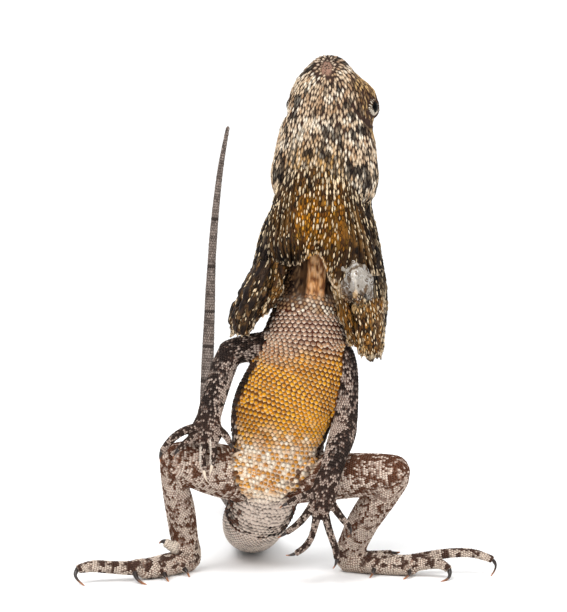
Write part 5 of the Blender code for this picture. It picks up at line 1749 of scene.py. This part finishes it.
def sheet_mesh(bm, sheet, tile, tiles):
    """Adds one sheet to a mesh, with its charts in a tile of their own."""
    extra = bmesh.new()
    columns, rows = sheet.spots.shape[:2]
    made = bmesh.ops.create_grid(extra, x_segments=columns - 1, y_segments=rows - 1, size=1.0)["verts"]
    layer = extra.loops.layers.uv.new("OFBake")
    key = {}
    for vert in made:
        i = round((vert.co.x + 1) / 2 * (columns - 1))
        j = round((vert.co.y + 1) / 2 * (rows - 1))
        key[vert] = (i, j)
        vert.co = place(sheet.spots[i, j])
    extra.verts.index_update()
    for face in extra.faces:
        for loop in face.loops:
            i, j = key[loop.vert]
            loop[layer].uv = ((tile + i / (columns - 1) * 0.94 + 0.03) / tiles, j / (rows - 1) * 0.46 + 0.02)
    order = np.array([key[vert] for vert in extra.verts])
    mesh = bpy.data.meshes.new("sheet")
    extra.to_mesh(mesh)
    extra.free()
    bm.from_mesh(mesh)
    bpy.data.meshes.remove(mesh)
    return sheet.base.reshape(columns, rows, 3)[order[:, 0], order[:, 1]]


def make_frill(material):
    """Makes the folded frill: two sides round to the nape and the leaves that hang in front."""
    sheets = [side_sheet(*span) for span in FRILL_SIDES] + [leaf_sheet(name) for name in LEAVES]
    bm = bmesh.new()
    bm.loops.layers.uv.new("OFBake")
    tints = [sheet_mesh(bm, sheet, tile, len(sheets)) for tile, sheet in enumerate(sheets)]
    item = from_bmesh("frill", bm)
    tints = np.concatenate(tints)
    write_skin(item.data, tints, tints)
    thick = item.modifiers.new("thickness", "SOLIDIFY")
    thick.thickness = FRILL_THICKNESS * MM
    thick.offset = 0.0
    settle(item)
    dress(item, material)
    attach(item, BODY)
    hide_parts("frill_right", "frill_throat", "frill_left")
    make_flecks(sheets, material)


# The frill's scales and the pale flecks on some of them: long, wide and high
FRILL_SCALE = mm(3.1, 1.6, 0.30)
FRILL_FLECK = mm(2.4, 0.90, 0.55)


def fleck_places(sheet, draw):
    """Goes down each lane of a sheet: gives a scale's column and row, its place down and its way."""
    spots = sheet.spots
    columns, rows = spots.shape[:2]
    widths = np.linalg.norm(np.diff(spots, axis=0), axis=2).sum(axis=0)
    lanes = max(3, int(widths.mean() / (2.0 if sheet.name == "pouch" else 1.6)))
    half = columns // lanes // 2
    for lane in range(lanes):
        column = (lane + 0.5) / lanes * (columns - 1)
        down = draw.uniform(0, 3) + 6.0 * (lane % 2)
        while down < rows - 3:
            i = min(columns - 1, max(0, int(column + draw.uniform(-0.28, 0.28) * columns / lanes)))
            row = int(down)
            if sheet.slim[i, row] > 0.5 or draw.random() < 0.4:
                first = max(0, i - half)
                i = first + int(sheet.ridge[first:i + half + 1, row].argmax())
            ahead = (spots[i, row + 2] - spots[i, row]) / 2
            down += 2.6 / max(np.linalg.norm(ahead), 0.05) * draw.uniform(0.9, 1.2)
            shed = sheet.name == "shed_roll" and row < rows * 0.7
            if sheet.ridge[i, row] >= -0.25 and not shed:
                yield i, row, down, unit(ahead)


def seen_side(sheet, spot, facing):
    """Turns a normal of a sheet to the side that is seen: out from the neck, or to the front."""
    if sheet.name == "side":
        out = spot - np.array((15.0, 5.0, spot[2]))
        return facing if facing @ out > 0 else -facing
    return -facing if facing[1] > 0.0 else facing


def make_flecks(sheets, material):
    """Sets narrow scales in rows down each sheet, pale ones on its ridges, each scale with a painted shadow
    at its rim.
    """
    coat = Coat()
    draw = random.Random(23)
    for tile, sheet in enumerate(sheets):
        columns, rows = sheet.spots.shape[:2]
        normals, tints = sheet.normals(), sheet.tint.reshape(columns, rows, 3)
        for i, row, down, ahead in fleck_places(sheet, draw):
            facing = seen_side(sheet, sheet.spots[i, row], normals[i, row])
            pale = draw.random() < sheet.pale[i, row]
            size = draw.choice((0.7, 0.9, 1.1, 1.35)) * draw.uniform(0.9, 1.1)
            under = tints[i, row] * draw.choice((0.12, 0.35, 0.8, 1.0, 1.2))
            spot = place(sheet.spots[i, row] + facing * FRILL_THICKNESS * 0.5)
            chart = ((tile + i / columns) / len(sheets), 0.52 + down / rows * 0.45)
            slim, top = 1.0 - 0.35 * sheet.slim[i, row], sheet.top[i, row]
            long, wide, high = FRILL_SCALE
            # Each place gets a wider scale whose rim is painted far darker: painted shadow round it and
            # round any pale fleck set on top
            coat.add(spot, ahead, facing, long, wide * slim, high, under, under * 0.18,
                     draw.random(), chart)
            if pale:
                tint = np.array(FLECK) * draw.uniform(0.45, 1.1)
                long, wide, high = FRILL_FLECK
                coat.add(spot, ahead, facing, long * size * (1 + 0.4 * top),
                         wide * size * slim * (1 + 0.3 * top), high, tint, tint * 0.8,
                         draw.random(), chart)
    coat.build("frill_scales", material)


EYE_BULGE = 0.0003


def eye_set(side):
    """Gives an eye's centre, its radius and the way it looks: outward and a little down."""
    low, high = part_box("eye_" + side)
    hand = 1.0 if side == "left" else -1.0
    gaze = (LEFT * hand - BACK * 0.10 - CROWN * 0.34).normalized()
    return (low + high) / 2, (high - low).z / 2 * 0.97, gaze


def make_eye(side, material):
    """Makes one eye, with a clear bulge in front."""
    centre, radius, gaze = eye_set(side)
    bm = bmesh.new()
    bmesh.ops.create_uvsphere(bm, u_segments=64, v_segments=40, radius=radius)
    turn = Vector((0, 0, 1)).rotation_difference(gaze).to_matrix()
    tone = []
    for vert in bm.verts:
        slope = math.acos(max(-1.0, min(1.0, vert.co.normalized().z)))
        tone.append((slope / (math.pi / 2), 0.0, 0.0))
        bulge = EYE_BULGE * float(ramp(0.75, 0.2, slope))
        vert.co = centre + turn @ (vert.co * (1.0 + bulge / radius))
    item = from_bmesh("eyeball_" + side, bm)
    dress(item, material)
    write(item.data, "tone", tone)
    write(item.data, "root", coordinates(item.data) - np.array(centre))
    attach(item, BODY)
    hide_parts("eye_" + side)
    return centre, gaze


# The lids' section: how far out each level lies, as a share of the opening, and its radius
LID_LEVELS = [(0.84, 4.48), (0.96, 4.60), (1.10, 4.68), (1.32, 4.68), (1.62, 4.58), (2.0, 4.36), (2.5, 4.0)]
LID_OPENING = (3.6, 3.1)
LID_THICKNESS = 0.0003
LID_COLOUR = (0.09, 0.050, 0.026)
LID_SCALE = mm(1.15, 0.60, 0.34)
# The rings of scales on the lids: how far out each lies and how many scales it has
LID_RINGS = ((1.0, 34), (1.9, 34), (2.8, 34), (3.7, 34), (4.5, 32))


def lid_point(centre, gaze, turn, level):
    """Gives a place on the lids: turn runs round the opening, level out from its edge."""
    index = min(int(level), len(LID_LEVELS) - 2)
    share = level - index
    reach = LID_LEVELS[index][0] * (1 - share) + LID_LEVELS[index + 1][0] * share
    radius = LID_LEVELS[index][1] * (1 - share) + LID_LEVELS[index + 1][1] * share
    up = (CROWN - gaze * CROWN.dot(gaze)).normalized()
    along = up.cross(gaze)
    corner = abs(math.cos(turn)) ** 1.3
    a = LID_OPENING[0] * reach * math.cos(turn) / 5.0
    b = LID_OPENING[1] * reach * math.sin(turn) * (1.0 - 0.25 * corner) / 5.0
    out = (gaze + along * math.tan(min(abs(a), 1.2)) * math.copysign(1, a)
           + up * math.tan(min(abs(b), 1.2)) * math.copysign(1, b)).normalized()
    return centre + out * radius * MM


def make_lids(side, centre, gaze, material, coat):
    """Makes the two lids as one soft ring round the eye's opening, edged with small scales."""
    bm = bmesh.new()
    rounds, levels = 56, (len(LID_LEVELS) - 1) * 3
    bmesh.ops.create_grid(bm, x_segments=rounds, y_segments=levels, size=1.0)
    for vert in bm.verts:
        turn = (vert.co.x + 1) * math.pi
        level = (vert.co.y + 1) / 2 * (len(LID_LEVELS) - 1)
        vert.co = lid_point(centre, gaze, turn, level)
    bmesh.ops.remove_doubles(bm, verts=bm.verts, dist=0.000005)
    bmesh.ops.recalc_face_normals(bm, faces=bm.faces)
    bmesh.ops.solidify(bm, geom=bm.faces[:], thickness=LID_THICKNESS)
    bmesh.ops.recalc_face_normals(bm, faces=bm.faces)
    item = from_bmesh("lids_" + side, bm)
    dress(item, material)
    write_skin(item.data, LID_COLOUR, LID_COLOUR)
    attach(item, BODY)
    draw = random.Random(31)
    for step, (level, count) in enumerate(LID_RINGS):
        for k in range(count):
            turn = 2 * math.pi * (k + 0.5 * (step % 2)) / count
            spot = lid_point(centre, gaze, turn, level)
            ahead = (lid_point(centre, gaze, turn, level + 0.2) - spot).normalized()
            normal = (spot - centre).normalized()
            toward_back = BACK.dot(normal - gaze * normal.dot(gaze))
            pale = draw.random() < (0.15 if step == 0 else 0.30) + 1.2 * max(0.0, toward_back)
            tint = np.array(BONE if pale else (0.10, 0.052, 0.025)) * draw.uniform(0.6, 1.05)
            grow = 1.0 + 0.15 * step
            long, wide, high = LID_SCALE
            coat.add(spot, ahead, normal, long * grow, wide * grow, high,
                     tint, tint * 0.8, draw.random(), (0.2 + 0.1 * step, k / count))


def make_claws(material):
    """Makes the claws of each hand and foot, rounded from the CAD's and darkening to the root."""
    for limb, digits, node in (("finger", FINGERS, "hand"), ("toe", TOES, "foot")):
        for side in SIDES:
            whole = bmesh.new()
            reach = []
            for number in range(1, 6):
                claw = rounded_copy(f"claw_{limb}_{side}_{number}", 40, 60)
                root = place(digits[side][number - 1][-1])
                gaps = np.linalg.norm(coordinates(claw.data) - root, axis=1)
                # The right hand's two middle claws carry the pale of a painted highlight, as their fingers
                # do
                pale = float((limb, side) == ("finger", "right") and number in (2, 3))
                reach += [(value, pale, 0.0) for value in (gaps - gaps.min()) / (gaps.max() - gaps.min())]
                whole.from_mesh(claw.data)
                bpy.data.objects.remove(claw, do_unlink=True)
            item = from_bmesh(f"claws_{node}_{side}", whole)
            dress(item, material)
            write(item.data, "tone", reach)
            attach(item, BODY)
            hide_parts(*[f"claw_{limb}_{side}_{number}" for number in range(1, 6)])


# The camera: its place in millimetres, how far it looks down in degrees, its lens and its film
CAMERA_PLACE = (-1.0, -1000.0, 190.0)
CAMERA_PITCH = 3.52
CAMERA_LENS = 124.0
CAMERA_FILM = 36.0
# Each lamp: its direction, its strength and how wide it looks in degrees
LAMPS = {"key": ((-0.45, -0.85, 1.20), 2.40, 34.0), "fill": ((0.80, -0.85, 0.90), 1.35, 50.0)}
WORLD_STRENGTH = 0.40
# The floor, and the backdrop: its size, how far back it stands, how far it reaches below the floor, in
# metres, and how strongly it glows
FLOOR_SIZE = 6.0
BACKDROP_SIZE, BACKDROP_PLACE, BACKDROP_SUNK = 4.0, 0.9, 0.1
BACKDROP_GLOW = 1.15


def make_camera():
    """Sets the camera at the photograph's height and distance."""
    camera = bpy.data.objects.new("camera", bpy.data.cameras.new("camera"))
    bpy.context.scene.collection.objects.link(camera)
    camera.data.sensor_width = CAMERA_FILM
    camera.data.lens = CAMERA_LENS
    camera.data.clip_start = 0.01
    camera.location = place(CAMERA_PLACE)
    camera.rotation_euler = (math.radians(90.0 - CAMERA_PITCH), 0.0, 0.0)
    bpy.context.scene.camera = camera


def make_light(name, direction, strength, width):
    """Hangs one soft far lamp that shines from a direction."""
    lamp = bpy.data.objects.new(name, bpy.data.lights.new(name, "SUN"))
    bpy.context.scene.collection.objects.link(lamp)
    lamp.data.energy = strength
    lamp.data.angle = math.radians(width)
    lamp.location = direction
    lamp.rotation_euler = Vector(direction).to_track_quat("Z", "Y").to_euler()


def glow_finish():
    """The white glow of the paper behind, which is clear from its other side."""
    finish = Finish("studio_backdrop")
    behind = finish.node("ShaderNodeNewGeometry", {}, {}, "Backfacing")
    finish.surface_set(Base_Color=(0.0, 0.0, 0.0), Emission_Color=(1.0, 1.0, 1.0),
                       Emission_Strength=BACKDROP_GLOW, Roughness=1.0, Specular_IOR_Level=0.0,
                       Alpha=1.0 - behind)
    return finish.material


def make_board(name, size, material, upright=False):
    """Makes one large square board of the studio, flat on the floor or upright at the back."""
    bm = bmesh.new()
    bmesh.ops.create_grid(bm, x_segments=1, y_segments=1, size=size)
    if upright:
        for vert in bm.verts:
            vert.co = (vert.co.x, BACKDROP_PLACE, vert.co.y + size - BACKDROP_SUNK)
    board = from_bmesh(name, bm)
    board.data.materials.append(material)


def make_studio():
    """Makes the pale floor, the glowing backdrop, the soft lamps and the pale surroundings."""
    make_board("studio_floor", FLOOR_SIZE, floor_finish())
    make_board("studio_backdrop", BACKDROP_SIZE, glow_finish(), upright=True)
    world = bpy.data.worlds.new("studio")
    world.use_nodes = True
    sky = world.node_tree.nodes["Background"]
    sky.inputs["Color"].default_value = (1.0, 1.0, 1.0, 1.0)
    sky.inputs["Strength"].default_value = WORLD_STRENGTH
    bpy.context.scene.world = world
    for name, lamp in LAMPS.items():
        make_light(name, *lamp)
    bpy.context.scene.view_settings.view_transform = "Standard"


def main():
    """Makes every piece of the scene."""
    rows = body_rows()
    hide = hide_finish()
    skin = make_skin()
    cover = Cover(skin, rows)
    relax_skin(cover)
    sculpt(cover)
    paint = Paint(cover.points, cover.normals, cover.label)
    write_skin(skin.data, paint.gap, paint.gap)
    dress(skin, hide)
    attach(skin, BODY)
    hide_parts(*FLESH)
    make_scales(cover, hide)
    make_frill(frill_finish())
    wet = eye_finish()
    rims = Coat()
    for side in SIDES:
        centre, gaze = make_eye(side, wet)
        make_lids(side, centre, gaze, hide, rims)
    rims.build("lid_scales", hide)
    make_claws(claw_finish())
    make_camera()
    make_studio()


main()
